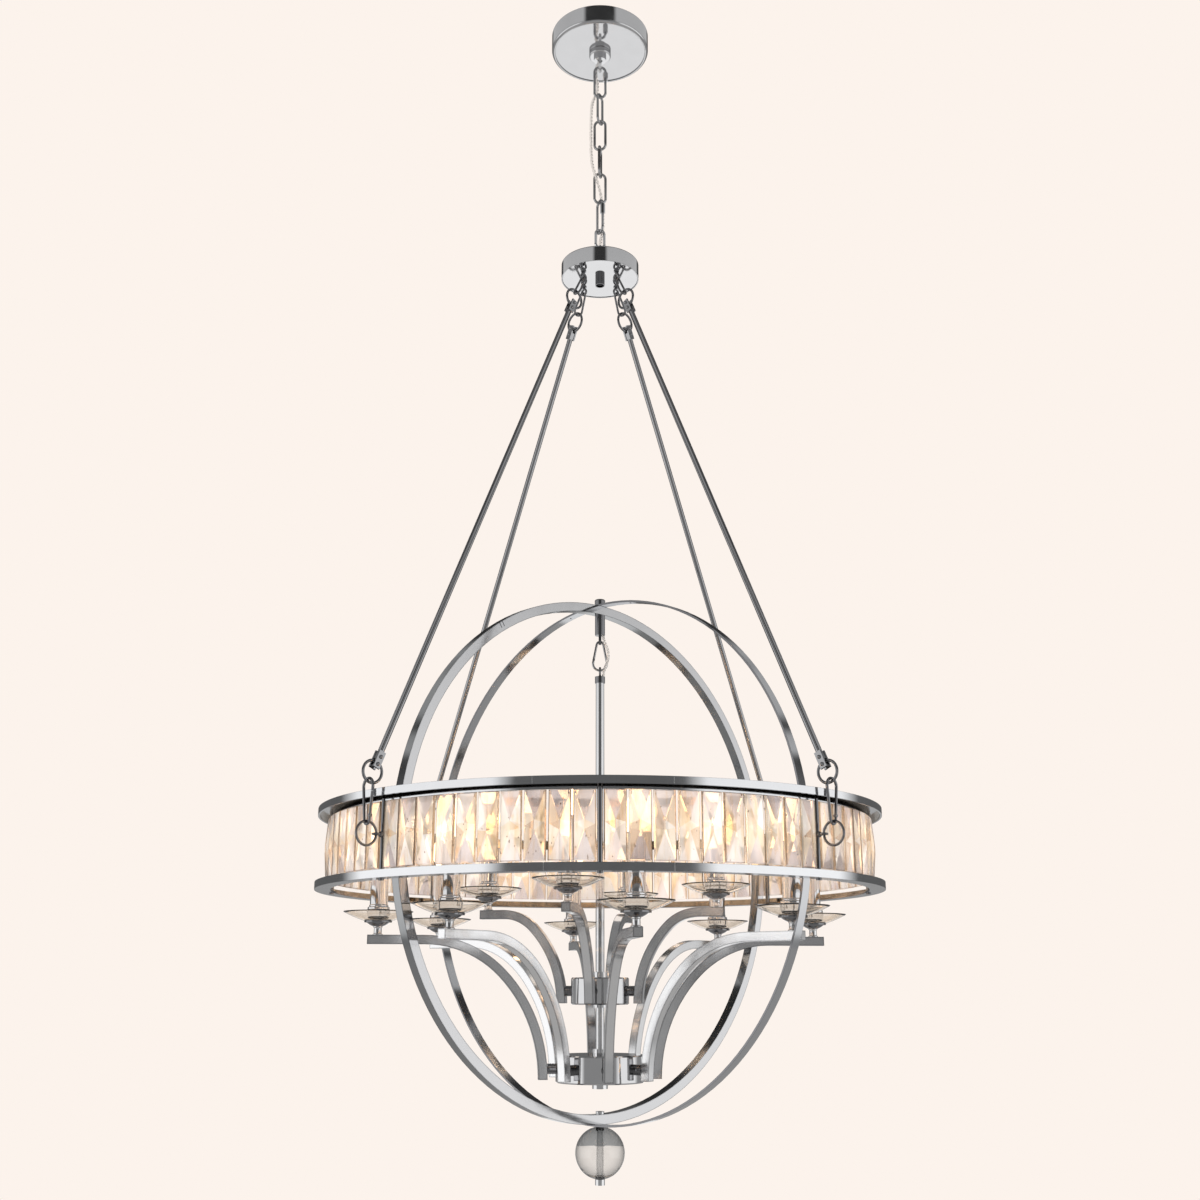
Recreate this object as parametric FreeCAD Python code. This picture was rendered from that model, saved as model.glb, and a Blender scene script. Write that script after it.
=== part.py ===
"""A twelve-light crystal ring chandelier on a chain, one STEP file for each sub-part.

Millimetres, +Z up. The origin is the ceiling plane at the middle of the canopy.
An azimuth of 0 faces -Y and grows towards +X. A local frame has X outwards and Y sideways.
"""
import FreeCAD
import Part
import math
import os

# Directions and turns
ORIGIN = FreeCAD.Vector(0, 0, 0)
OUTWARDS = FreeCAD.Vector(1, 0, 0)
SIDEWAYS = FreeCAD.Vector(0, 1, 0)
UP = FreeCAD.Vector(0, 0, 1)
FULL_TURN = 360
HALF_TURN = 180
QUARTER_TURN = 90
EIGHTH_TURN = 45

# Gaps and overruns
contact_gap = 0.3
running_gap = 0.05
cut_overrun = 2.0

# Ceiling fitting
canopy_radius = 98.0
canopy_depth = 38.0
canopy_wall = 1.5
canopy_lip = 5.0
canopy_step = 1.5
crossbar_length = 120.0
crossbar_width = 24.0
crossbar_thickness = 3.0
mount_spacing = 88.9
mount_hole_radius = 2.4
shank_radius = 6.5
wire_bore_radius = 4.9
collar_radius = 22.0
collar_height = 11.0
collar_rim = 2.5
loop_neck_radius = 12.5
loop_neck_height = 8.5
canopy_loop_width = 27.0
canopy_loop_wire = 6.0
shank_nut_radius = 11.0
shank_nut_height = 6.0

# Chain
chain_wire = 5.0
chain_width = 27.0
link_inner_length = 60.8
quick_inner_length = 66.0
chain_turns = [0, 65, -10, 80, 8, -62]
sleeve_flats = 8.6
sleeve_length = 21.0
sleeve_place_share = 0.26
quick_opening = 9.0

# Hub under the chain
hub_loop_turn = 15
hub_loop_width = 22.5
hub_loop_wire = 5.5
hub_loop_inner_length = 33.0
hub_neck_radius = 10.0
hub_neck_height = 37.0
hub_bore_radius = 4.0
hub_shank_radius = 5.5
hub_radius = 75.0
hub_depth = 32.0
hub_wall = 2.0
hub_edge = 3.0
hub_plate_gap = 0.5
hub_plate_thickness = 2.5
hub_plate_inset = 1.0
hub_nut_radius = 9.0
hub_nut_wall = 1.4
hub_nut_height = 14.0
hub_nut_core_height = 8.0
thumb_screw_radius = 3.0
thumb_screw_reach = 9.0
thumb_screw_place_share = 0.55
thumb_head_radius = 4.5
thumb_head_height = 4.0

# Corner suspension
corner_azimuths = [-45, 45, 135, -135]
hub_eye_radius = 44.5
hub_eye_mean_radius = 6.0
hub_eye_wire = 4.0
hub_eye_drop = 3.6
hub_eye_shank = 5.0
hub_eye_nut_radius = 5.0
hub_eye_nut_height = 3.0
rod_lean = 23.8
top_link_inner_length = 41.5
top_link_wide = 22.0
top_link_narrow = 15.0
top_link_wire = 4.0
top_ring_diameter = 42.0
corner_ring_wire = 4.5
rod_pin_distance = 1008.0
rod_diameter = 10.0
clevis_gap = 7.0
clevis_cheek = 3.0
clevis_width = 12.0
clevis_tip = 6.0
clevis_length = 22.0
clevis_pin_diameter = 5.0
clevis_knob_diameter = 6.5
clevis_pin_spacing = 12.5
tongue_setback = 8.6
tongue_width = 10.0
tongue_length = 12.0
lower_ring_diameter = 39.0
lower_ring_bearing_turn = 30
snap_inner_length = 64.0
snap_wide = 28.0
snap_narrow = 17.0
snap_wire = 4.5
eye_ring_diameter = 40.0
eye_ring_wire = 4.0

# Snap gates
gate_hinge_share = 0.14
gate_nose_share = 0.86
gate_tang_share = 0.36
gate_fork_share = 0.55
gate_pin_radius = 0.7
gate_fork_lip = 0.4

# Crystal ring
ring_outer_radius = 482.5
ring_inner_radius = 456.0
ring_strip_thickness = 3.0
ring_top = -1590.0
upper_strip_height = 11.5
lower_strip_height = 12.0
ring_height = 133.0
ring_flange_thickness = 3.0
hanger_thickness = 3.0
hanger_height = 14.0
crystal_circle_radius = 462.0
bay_count = 8
crystals_per_bay = 10
crystal_pitch = 4.4
crystal_width = 32.4
crystal_height = 100.0
crystal_edge = 2.0
crystal_swell = 6.5
crystal_apex_share = 0.43
post_radius = 4.0
post_shank_radius = 2.5
post_head_radius = 4.2
post_head_height = 2.2
eye_bolt_mean_radius = 5.0
eye_bolt_wire = 3.6
eye_bolt_ball_radius = 4.6
eye_bolt_ball_reach = 4.2
eye_bolt_shank_radius = 2.2

# Hoops and their poles
hoop_width = 17.0
hoop_tube_depth = 16.0
hoop_tube_wall = 1.5
hoop_inner_radius = 425.5
hoop_strip_thickness = 3.5
hoop_strip_gap = 0.1
hoop_centre_height = -1655.0
tube_azimuth = -45
strip_azimuth = 45
pole_bore_radius = 5.0
pole_knob_radius = 9.5
pole_knob_height = 10.5
pole_knob_edge = 2.5
coupler_radius = 9.0
coupler_length = 37.0
coupler_eye_thickness = 5.0
coupler_eye_width = 14.0
coupler_eye_hole_radius = 4.5
coupler_eye_drop = 10.3
finial_rod_radius = 4.9
finial_head_radius = 7.0
finial_head_height = 4.0
finial_ball_radius = 40.6
finial_bore_radius = 5.8
finial_nut_radius = 8.0
finial_nut_height = 9.0

# Centre hook
centre_link_inner_length = 49.0
centre_link_wide = 29.0
centre_link_narrow = 16.0
centre_link_wire = 4.0
stem_loop_mean_radius = 8.0
stem_loop_wire = 4.0
stem_collar_radius = 9.0
stem_collar_height = 12.0
small_bore_radius = 2.8
small_bore_out = 5.2
small_bore_front = -2.5

# Cluster
stem_radius = 7.5
stem_wall = 1.5
upper_hub_height = -1885.0
upper_hub_radius = 49.0
lower_hub_height = -2009.0
lower_hub_radius = 74.0
cluster_hub_depth = 44.0
cluster_hub_wall = 3.0
cluster_hub_edge = 2.0
stem_end_height = -2036.0
cluster_nut_radius = 13.0
cluster_nut_height = 9.0
cluster_cap_height = 5.0
arm_width = 15.0
arm_wall = 1.2
spacer_radius = 8.5
spacer_groove = 0.8
spacer_groove_width = 1.5
spacer_groove_shares = [0.2, 0.5, 0.8]
nipple_radius = 4.0
nipple_bore_radius = 2.8
nipple_reach = 4.5

lower_arm_count = 8
lower_arm_turn = 8.0
lower_spacer_length = 14.2
lower_arm_start_height = -2026.0
lower_arm_rise = 224.0
lower_arm_reach = 200.0
lower_candle_radius = 375.0
lower_arm_end_radius = 392.0
upper_arm_count = 4
upper_arm_turn = -14.5
upper_spacer_length = 10.5
upper_arm_start_height = -1905.0
upper_arm_rise = 148.0
upper_arm_reach = 105.0
upper_candle_radius = 202.0
upper_arm_end_radius = 215.0
lower_arm_sizes = [
    lower_arm_count,
    lower_hub_radius,
    lower_hub_height,
    lower_spacer_length,
    lower_arm_start_height,
    lower_arm_rise,
    lower_arm_reach,
    lower_candle_radius,
    lower_arm_end_radius,
]
upper_arm_sizes = [
    upper_arm_count,
    upper_hub_radius,
    upper_hub_height,
    upper_spacer_length,
    upper_arm_start_height,
    upper_arm_rise,
    upper_arm_reach,
    upper_candle_radius,
    upper_arm_end_radius,
]

# Candles
cup_post_radius = 6.75
cup_post_height = 13.5
pan_radius = 23.0
pan_height = 8.0
pan_edge = 1.5
pan_belly_radius_share = 0.66
pan_belly_height_share = 0.3
cup_neck_radius = 6.0
cup_radius = 19.5
cup_height = 20.0
cup_base_share = 0.68
cup_belly_share = 0.95
cup_belly_height_share = 0.16
cup_side_share = 0.42
cup_step = 1.5
cup_step_share = 0.78
dish_radius = 58.0
dish_rise = 13.0
dish_thickness = 3.2
dish_edge_thickness = 2.0
dish_rim_height = 3.5
dish_flat_share = 0.85
dish_sag_share = 0.4
sleeve_radius = 15.0
sleeve_wall = 1.0
sleeve_height = 90.0
holder_clearance = 0.3
holder_foot_radius = 6.0
holder_foot_height = 30.0
holder_bore_radius = 7.2
holder_bore_depth = 26.0
bulb_base_radius = 6.8
bulb_base_depth = 18.0
bulb_neck_radius = 9.0
bulb_radius = 17.5
bulb_height = 78.0
bulb_widest_share = 0.33
bulb_shoulder_share = 0.88
bulb_taper_share = 0.62
bulb_taper_height_share = 0.6
bulb_tip_radius = 2.2

# Cords
power_cord_diameter = 6.0
centre_cord_diameter = 4.6
cord_round_share = 0.45
power_cord_route = [
    (0.0, 0.0, -43.0),
    (0.0, 0.0, -57.0),
    (-8.0, 4.3, -69.3),
    (-9.0, 9.4, -84.0),
    (-4.4, 9.6, -105.0),
    (-6.5, 8.6, -127.0),
    (-15.0, 6.0, -147.0),
    (-17.4, 0.8, -172.0),
    (-18.0, -0.6, -206.0),
    (-18.2, 0.4, -242.0),
    (-17.6, -1.0, -276.0),
    (-15.0, -6.0, -304.0),
    (-8.8, -8.2, -328.0),
    (-0.6, 0.6, -351.0),
    (3.4, 7.4, -373.0),
    (5.4, 7.6, -398.0),
    (6.4, 7.2, -424.0),
    (5.0, 8.2, -446.0),
    (1.5, 4.6, -460.0),
    (0.0, 0.0, -474.0),
    (0.0, 0.0, -487.0),
]
centre_cord_route = [
    (5.2, -2.5, -1260.0),
    (5.3, -2.6, -1271.5),
    (9.5, -6.9, -1283.0),
    (15.4, -7.8, -1298.0),
    (14.4, -7.6, -1314.0),
    (8.2, -6.6, -1328.5),
    (5.4, -2.7, -1340.5),
    (5.2, -2.5, -1352.0),
]

os.makedirs("parts", exist_ok=True)


def save(node, shape):
    """Writes one sub-part under its node's name."""
    shape.exportStep("parts/" + node + ".step")


def group(shapes):
    """Joins separate solids in one compound."""
    return Part.Compound(list(shapes))


def moved(shape, x, y, z):
    """A copy of the shape, moved."""
    copy = shape.copy()
    copy.translate(FreeCAD.Vector(x, y, z))
    return copy


def turned(shape, axis, angle):
    """A copy of the shape, turned about an axis through the origin."""
    copy = shape.copy()
    copy.rotate(ORIGIN, axis, angle)
    return copy


def at_azimuth(shape, azimuth):
    """Takes a shape from the local frame to its azimuth."""
    return turned(shape, UP, azimuth - QUARTER_TURN)


def leaned(shape, start):
    """Leans a shape that hangs from the origin along the rods, and hangs it at start."""
    copy = turned(shape, SIDEWAYS, -rod_lean)
    copy.translate(start)
    return copy


def down_the_line(start, distance):
    """A point further down the rods' line."""
    lean = math.radians(rod_lean)
    return start + FreeCAD.Vector(math.sin(lean), 0, -math.cos(lean)) * distance


def pin(radius, start, end):
    """A round bar between two points."""
    return Part.makeCylinder(radius, (end - start).Length, start, end - start)


def cross_pin(radius, length, place):
    """A round bar that lies sideways, centred on a place."""
    half = SIDEWAYS * (length / 2)
    return pin(radius, place - half, place + half)


def block(size_x, size_y, bottom, top, x=0):
    """A box centred sideways between two heights."""
    corner = FreeCAD.Vector(x - size_x / 2, -size_y / 2, bottom)
    return Part.makeBox(size_x, size_y, top - bottom, corner)


def prism(flats, bottom, top):
    """A hexagonal bar between two heights."""
    reach = flats / 2 / math.cos(math.radians(HALF_TURN / 6))
    corners = [ORIGIN + turned_point(reach, side * FULL_TURN / 6, bottom) for side in range(7)]
    return Part.Face(Part.makePolygon(corners)).extrude(UP * (top - bottom))


def turned_point(radius, angle, height):
    """A point on a level circle round the axis."""
    turn = math.radians(angle)
    return FreeCAD.Vector(radius * math.cos(turn), radius * math.sin(turn), height)


def outline_point(pair):
    """An outline's point in the upright plane."""
    return FreeCAD.Vector(pair[0], 0, pair[1])


def outline_edges(start, steps):
    """Edges of an outline, where a step is a point or an arc's middle and end."""
    edges = []
    here = outline_point(start)
    for step in steps:
        if isinstance(step[0], tuple):
            middle = outline_point(step[0])
            end = outline_point(step[1])
            edges.append(Part.Arc(here, middle, end).toShape())
        else:
            end = outline_point(step)
            edges.append(Part.LineSegment(here, end).toShape())
        here = end
    return edges


def outline_face(start, *steps):
    """A flat face in the upright plane inside a closed outline."""
    return Part.Face(Part.Wire(outline_edges(start, steps + (start,))))


def lathe(start, *steps):
    """Turns a closed outline of radius and height about the upright axis."""
    return outline_face(start, *steps).revolve(ORIGIN, UP, FULL_TURN)


def corner_arc(centre, radius, angle):
    """A quarter arc that starts at an angle and runs on clockwise, as an outline's step."""
    places = []
    for turn in (angle - EIGHTH_TURN, angle - QUARTER_TURN):
        x = centre[0] + radius * math.cos(math.radians(turn))
        z = centre[1] + radius * math.sin(math.radians(turn))
        places.append((x, z))
    return tuple(places)


def bar_run(start, end, radius):
    """A straight stretch of wire."""
    return pin(radius, start, end)


def bow(centre, bend, radius, start_angle, sweep):
    """A bent stretch of wire in the upright plane, counted from the +X side."""
    angle = math.radians(start_angle)
    start = centre + FreeCAD.Vector(math.cos(angle), 0, math.sin(angle)) * bend
    heading = FreeCAD.Vector(-math.sin(angle), 0, math.cos(angle))
    disc = Part.Face(Part.Wire(Part.makeCircle(radius, start, heading)))
    return disc.revolve(centre, SIDEWAYS * -1, sweep)


class WireLoop:
    """A closed loop of wire that hangs from the origin, its top wire centred there."""

    def __init__(self, inner_length, top_width, bottom_width, wire):
        self.wire = wire
        self.radius = wire / 2
        self.top_bend = (top_width - wire) / 2
        self.bottom_bend = (bottom_width - wire) / 2
        self.drop = inner_length + wire
        spread = self.drop - self.top_bend - self.bottom_bend
        self.top_centre = UP * -self.top_bend
        self.bottom_centre = UP * (self.bottom_bend - self.drop)
        self.slope = math.degrees(math.asin((self.bottom_bend - self.top_bend) / spread))

    def side_point(self, centre, bend, side):
        """Where a straight side meets a bow."""
        slope = math.radians(self.slope)
        return centre + FreeCAD.Vector(side * math.cos(slope), 0, math.sin(slope)) * bend

    def side_ends(self, side):
        """The lower and upper end of one straight side."""
        lower = self.side_point(self.bottom_centre, self.bottom_bend, side)
        upper = self.side_point(self.top_centre, self.top_bend, side)
        return lower, upper

    def solid(self):
        """The whole loop."""
        top_sweep = HALF_TURN - 2 * self.slope
        bottom_sweep = HALF_TURN + 2 * self.slope
        top = bow(self.top_centre, self.top_bend, self.radius, self.slope, top_sweep)
        bottom = bow(
            self.bottom_centre, self.bottom_bend, self.radius, HALF_TURN - self.slope, bottom_sweep
        )
        sides = [bar_run(*self.side_ends(side), self.radius) for side in (1, -1)]
        return top.multiFuse([bottom] + sides).removeSplitter()


def hanging_ring(diameter, wire):
    """A round ring in the upright plane that hangs from the origin by its top wire's centre."""
    bend = (diameter - wire) / 2
    return Part.makeTorus(bend, wire / 2, UP * -bend, SIDEWAYS)


def snap_link(loop):
    """A snap link's body and its gate, on the +X side, hinged at the lower end."""
    lower, upper = loop.side_ends(1)
    along = (upper - lower).normalize()
    length = (upper - lower).Length
    hinge = lower + along * (length * gate_hinge_share)
    nose = lower + along * (length * gate_nose_share)
    tang = loop.wire * gate_tang_share
    fork_radius = loop.wire * gate_fork_share
    shoulder = hinge + along * (fork_radius + contact_gap)
    opening = pin(loop.radius + contact_gap, hinge, nose + along * contact_gap)
    fork = cross_pin(fork_radius, loop.wire + 2 * gate_fork_lip, hinge)
    slot = cross_pin(loop.radius + contact_gap, tang + 2 * contact_gap, hinge)
    bore = cross_pin(gate_pin_radius + running_gap, loop.wire + cut_overrun, hinge)
    body = loop.solid().cut(opening).fuse(fork).cut(slot).cut(bore).removeSplitter()
    plate = Part.makeBox(loop.wire, tang, fork_radius + loop.wire)
    plate.translate(FreeCAD.Vector(-loop.radius, -tang / 2, 0))
    plate.rotate(ORIGIN, SIDEWAYS, math.degrees(math.atan2(along.x, along.z)))
    plate.translate(hinge)
    gate = pin(loop.radius, shoulder, nose).fuse(plate)
    gate = gate.fuse(cross_pin(loop.radius, tang, hinge))
    gate = gate.fuse(cross_pin(gate_pin_radius, loop.wire, hinge)).removeSplitter()
    return body, gate


def cord_tube(points, diameter):
    """A cord of straight runs joined by tangent arcs, and a list of the arcs' radii."""
    route = [FreeCAD.Vector(*point) for point in points]
    edges = []
    radii = []
    here = route[0]
    for before, corner, after in zip(route, route[1:], route[2:]):
        back = (before - corner).normalize()
        ahead = (after - corner).normalize()
        half_turn = (math.pi - back.getAngle(ahead)) / 2
        trim = cord_round_share * min((before - corner).Length, (after - corner).Length)
        radius = trim / math.tan(half_turn)
        radii.append(radius)
        start = corner + back * trim
        end = corner + ahead * trim
        inwards = (back + ahead).normalize()
        middle = corner + inwards * (radius / math.cos(half_turn) - radius)
        edges.append(Part.LineSegment(here, start).toShape())
        edges.append(Part.Arc(start, middle, end).toShape())
        here = end
    edges.append(Part.LineSegment(here, route[-1]).toShape())
    path = Part.Wire(edges)
    section = Part.Wire(Part.makeCircle(diameter / 2, route[0], route[1] - route[0]))
    tube = path.makePipeShell([section], True, False)
    expected = math.pi * diameter ** 2 / 4 * path.Length
    print("cord length", round(path.Length, 1), "least radius", round(min(radii), 1))
    print("cord volume against section times length", round(tube.Volume / expected, 4))
    return Part.Solid(tube) if tube.ShapeType == "Shell" else tube


def make_crossbar():
    """The strap that screws to the ceiling box and carries the shank."""
    bar = block(crossbar_length, crossbar_width, -crossbar_thickness, 0)
    cuts = [Part.makeCylinder(shank_radius + running_gap, crossbar_thickness, UP * -crossbar_thickness)]
    for side in (1, -1):
        place = FreeCAD.Vector(side * mount_spacing / 2, 0, -crossbar_thickness)
        cuts.append(Part.makeCylinder(mount_hole_radius, crossbar_thickness, place))
    save("ceiling_crossbar", bar.cut(cuts))


def make_canopy():
    """The round cover that closes the ceiling box."""
    floor = -canopy_depth + canopy_step
    lip_centre = (canopy_radius - canopy_lip, -canopy_depth + canopy_lip)
    bore = shank_radius + running_gap
    shell = lathe(
        (canopy_radius, 0),
        (canopy_radius, lip_centre[1]),
        corner_arc(lip_centre, canopy_lip, 0),
        (lip_centre[0] - canopy_step, -canopy_depth),
        (lip_centre[0] - canopy_step, floor),
        (bore, floor),
        (bore, floor + canopy_wall),
        (lip_centre[0] - canopy_step, floor + canopy_wall),
        (canopy_radius - canopy_wall, lip_centre[1] + canopy_step),
        (canopy_radius - canopy_wall, 0),
    )
    save("canopy", shell)


def canopy_collar_bottom():
    """Height of the collar's lower face."""
    return -canopy_depth + canopy_step - collar_height


def make_canopy_collar():
    """The threaded ring that holds the canopy up."""
    top = -canopy_depth + canopy_step - running_gap
    bottom = canopy_collar_bottom()
    bore = shank_radius + running_gap
    collar = lathe(
        (bore, top),
        (collar_radius - collar_rim, top),
        corner_arc((collar_radius - collar_rim, top - collar_rim), collar_rim, QUARTER_TURN),
        (collar_radius, bottom + collar_rim),
        corner_arc((collar_radius - collar_rim, bottom + collar_rim), collar_rim, 0),
        (bore, bottom),
    )
    save("canopy_collar", collar)


def canopy_loop_inner_bottom():
    """Height of the surface that the first link bears on."""
    neck_bottom = canopy_collar_bottom() - running_gap - loop_neck_height
    return neck_bottom + canopy_loop_wire / 2 - canopy_loop_width + canopy_loop_wire


def make_canopy_loop():
    """Hollow shank, neck and hanging loop in one piece, with its nut above the crossbar."""
    neck_top = canopy_collar_bottom() - running_gap
    neck_bottom = neck_top - loop_neck_height
    shank_top = -canopy_wall
    shank = Part.makeCylinder(shank_radius, shank_top - neck_top, UP * neck_top)
    neck = Part.makeCylinder(loop_neck_radius, loop_neck_height, UP * neck_bottom)
    nut = Part.makeCylinder(
        shank_nut_radius, shank_nut_height, UP * (-crossbar_thickness - contact_gap - shank_nut_height)
    )
    ring = turned(hanging_ring(canopy_loop_width, canopy_loop_wire), UP, QUARTER_TURN)
    ring = moved(ring, 0, 0, neck_bottom)
    bore_bottom = neck_bottom - canopy_loop_wire
    bore = Part.makeCylinder(wire_bore_radius, shank_top - bore_bottom, UP * bore_bottom)
    save("canopy_loop", shank.multiFuse([neck, nut, ring]).cut(bore).removeSplitter())


def chain_layout():
    """The chain's elements from the top: kind, loop, height of the top wire's centre, turn."""
    inner_bottom = canopy_loop_inner_bottom()
    elements = []
    for place, turn in enumerate(chain_turns):
        quick = place in (0, len(chain_turns) - 1)
        length = quick_inner_length if quick else link_inner_length
        loop = WireLoop(length, chain_width, chain_width, chain_wire)
        inner_top = inner_bottom + contact_gap
        elements.append((quick, loop, inner_top + chain_wire / 2, turn))
        inner_bottom = inner_top - length
    return elements, inner_bottom


def quick_link_pieces(loop):
    """A quick link's open body and the screw sleeve that closes it."""
    lower, upper = loop.side_ends(1)
    centre = upper + (lower - upper) * sleeve_place_share
    half_opening = UP * (quick_opening / 2)
    opening = pin(loop.radius + contact_gap, centre - half_opening, centre + half_opening)
    body = loop.solid().cut(opening)
    half = sleeve_length / 2
    bore = Part.makeCylinder(loop.radius + running_gap, sleeve_length, UP * -half)
    sleeve = prism(sleeve_flats, -half, half).cut(bore)
    sleeve.translate(centre)
    return body, sleeve


def make_chain():
    """Two quick links with their sleeves and the plain links between them."""
    elements, bottom = chain_layout()
    names = ["upper", "1", "2", "3", "4", "lower"]
    for name, (quick, loop, height, turn) in zip(names, elements):
        if quick:
            body, sleeve = quick_link_pieces(loop)
            sleeve_node = "quick_sleeve_" + name
            save(sleeve_node, turned(moved(sleeve, 0, 0, height), UP, turn))
            save("quick_link_" + name, turned(moved(body, 0, 0, height), UP, turn))
        else:
            save("chain_link_" + name, turned(moved(loop.solid(), 0, 0, height), UP, turn))
        print("chain", name, "turn", turn, "top wire", round(height, 2), "drop", loop.drop)


def hub_heights():
    """Heights of the hub loop's top wire centre, the neck's top, the hub's top and its bottom."""
    bottom = chain_layout()[1]
    loop_top = bottom + contact_gap + hub_loop_wire / 2
    neck_top = loop_top - hub_loop_inner_length - hub_loop_wire
    hub_top = neck_top - hub_neck_height
    return loop_top, neck_top, hub_top, hub_top - hub_depth


def hub_plate_heights():
    """Heights of the hub plate's upper and lower faces."""
    bottom = hub_heights()[3] + hub_plate_inset
    return bottom + hub_plate_thickness, bottom


def make_hub_loop():
    """The loop on the hub's hollow shank, with its side thumb screw."""
    loop_top, neck_top, hub_top, hub_bottom = hub_heights()
    plate_bottom = hub_plate_heights()[1]
    loop = WireLoop(hub_loop_inner_length, hub_loop_width, hub_loop_width, hub_loop_wire)
    ring = turned(moved(loop.solid(), 0, 0, loop_top), UP, hub_loop_turn)
    neck = Part.makeCylinder(hub_neck_radius, hub_neck_height, UP * hub_top)
    shank_bottom = plate_bottom - hub_nut_core_height
    shank = Part.makeCylinder(hub_shank_radius, hub_top - shank_bottom, UP * shank_bottom)
    screw_height = hub_top + hub_neck_height * thumb_screw_place_share
    start = FreeCAD.Vector(hub_neck_radius - hub_wall, 0, screw_height)
    tip = start + OUTWARDS * thumb_screw_reach
    screw = pin(thumb_screw_radius, start, tip)
    head = pin(thumb_head_radius, tip, tip + OUTWARDS * thumb_head_height)
    bore_top = neck_top + hub_loop_wire
    bore = Part.makeCylinder(hub_bore_radius, bore_top - shank_bottom, UP * shank_bottom)
    whole = ring.multiFuse([neck, shank, screw, head]).cut(bore)
    save("hub_loop", whole.removeSplitter())
    print("hub loop top wire", round(loop_top, 2), "hub top", hub_top, "hub bottom", hub_bottom)


def make_hub():
    """The hub's drum, its inset bottom plate and the plate's tubular nut."""
    hub_top, hub_bottom = hub_heights()[2:]
    plate_top, plate_bottom = hub_plate_heights()
    bore = hub_shank_radius + running_gap
    edge_centre = (hub_radius - hub_edge, hub_top - hub_edge)
    drum = lathe(
        (bore, hub_top),
        (edge_centre[0], hub_top),
        corner_arc(edge_centre, hub_edge, QUARTER_TURN),
        (hub_radius, hub_bottom),
        (hub_radius - hub_wall, hub_bottom),
        (hub_radius - hub_wall, edge_centre[1]),
        (edge_centre[0], hub_top - hub_wall),
        (bore, hub_top - hub_wall),
    )
    save("hub_body", drum)
    plate_radius = hub_radius - hub_wall - hub_plate_gap
    plate = Part.makeCylinder(plate_radius, hub_plate_thickness, UP * plate_bottom)
    holes = [Part.makeCylinder(bore, hub_plate_thickness, UP * plate_bottom)]
    eye_bore = Part.makeCylinder(
        hub_eye_shank / 2 + running_gap, hub_plate_thickness, OUTWARDS * hub_eye_radius + UP * plate_bottom
    )
    holes += [at_azimuth(eye_bore, azimuth) for azimuth in corner_azimuths]
    save("hub_plate", plate.cut(holes))
    nut_top = plate_bottom
    core_bottom = nut_top - hub_nut_core_height
    nut = lathe(
        (bore, nut_top),
        (hub_nut_radius, nut_top),
        (hub_nut_radius, nut_top - hub_nut_height),
        (hub_nut_radius - hub_nut_wall, nut_top - hub_nut_height),
        (hub_nut_radius - hub_nut_wall, core_bottom),
        (bore, core_bottom),
    )
    save("hub_nut", nut)


def corner_points():
    """The corner suspension's places in the local frame, from the hub's eye down to the post."""
    plate_bottom = hub_plate_heights()[1]
    eye_reach = hub_eye_mean_radius + hub_eye_wire / 2
    eye = FreeCAD.Vector(hub_eye_radius, 0, plate_bottom - hub_eye_drop - eye_reach)
    half_wires = (hub_eye_wire + top_link_wire) / 2 + contact_gap
    link_top = down_the_line(eye, hub_eye_mean_radius - half_wires)
    link_drop = top_link_inner_length + top_link_wire
    ring_drop = (top_link_wire + corner_ring_wire) / 2 + contact_gap
    ring_top = down_the_line(link_top, link_drop - ring_drop)
    pin_gap = (corner_ring_wire + clevis_pin_diameter) / 2 + contact_gap
    ring_bend = (top_ring_diameter - corner_ring_wire) / 2
    upper_pin = down_the_line(ring_top, 2 * ring_bend - pin_gap)
    lower_pin = down_the_line(upper_pin, rod_pin_distance)
    low_bend = (lower_ring_diameter - corner_ring_wire) / 2
    low_ring = down_the_line(lower_pin, low_bend - pin_gap)
    bearing = math.radians(lower_ring_bearing_turn)
    reach = low_bend - (corner_ring_wire + snap_wire) / 2 - contact_gap
    snap_top = low_ring + FreeCAD.Vector(math.sin(bearing), 0, -math.cos(bearing)) * reach
    snap_bottom = snap_top - UP * (snap_inner_length + snap_wire)
    eye_ring_top = snap_bottom + UP * ((snap_wire + eye_ring_wire) / 2 + contact_gap)
    eye_ring_bend = (eye_ring_diameter - eye_ring_wire) / 2
    bolt = eye_ring_top - UP * eye_ring_bend - OUTWARDS * eye_ring_bend
    places = dict(eye=eye, link_top=link_top, ring_top=ring_top, upper_pin=upper_pin)
    places.update(lower_pin=lower_pin, low_ring=low_ring, snap_top=snap_top)
    places.update(eye_ring_top=eye_ring_top, bolt=bolt)
    return places


def clevis(pin_place, heading):
    """A fork on a rod's end, with its two pins and their round knobs."""
    pieces = []
    for side in (1, -1):
        cheek = Part.makeBox(clevis_width, clevis_cheek, clevis_length + clevis_tip)
        offset = (clevis_gap / 2) if side > 0 else (-clevis_gap / 2 - clevis_cheek)
        cheek.translate(FreeCAD.Vector(-clevis_width / 2, offset, -clevis_tip))
        pieces.append(cheek)
    tongue = Part.makeBox(tongue_width, clevis_gap, tongue_length)
    tongue.translate(FreeCAD.Vector(-tongue_width / 2, -clevis_gap / 2, tongue_setback))
    pieces.append(tongue)
    outside = clevis_gap + 2 * clevis_cheek
    for height in (0, clevis_pin_spacing):
        place = UP * height
        pieces.append(cross_pin(clevis_pin_diameter / 2, outside, place))
        for side in (1, -1):
            knob = place + SIDEWAYS * (side * outside / 2)
            pieces.append(Part.makeSphere(clevis_knob_diameter / 2, knob))
    whole = pieces[0].multiFuse(pieces[1:])
    if heading < 0:
        whole = turned(whole, SIDEWAYS, HALF_TURN)
    return moved(whole, pin_place.x, pin_place.y, pin_place.z)


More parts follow.
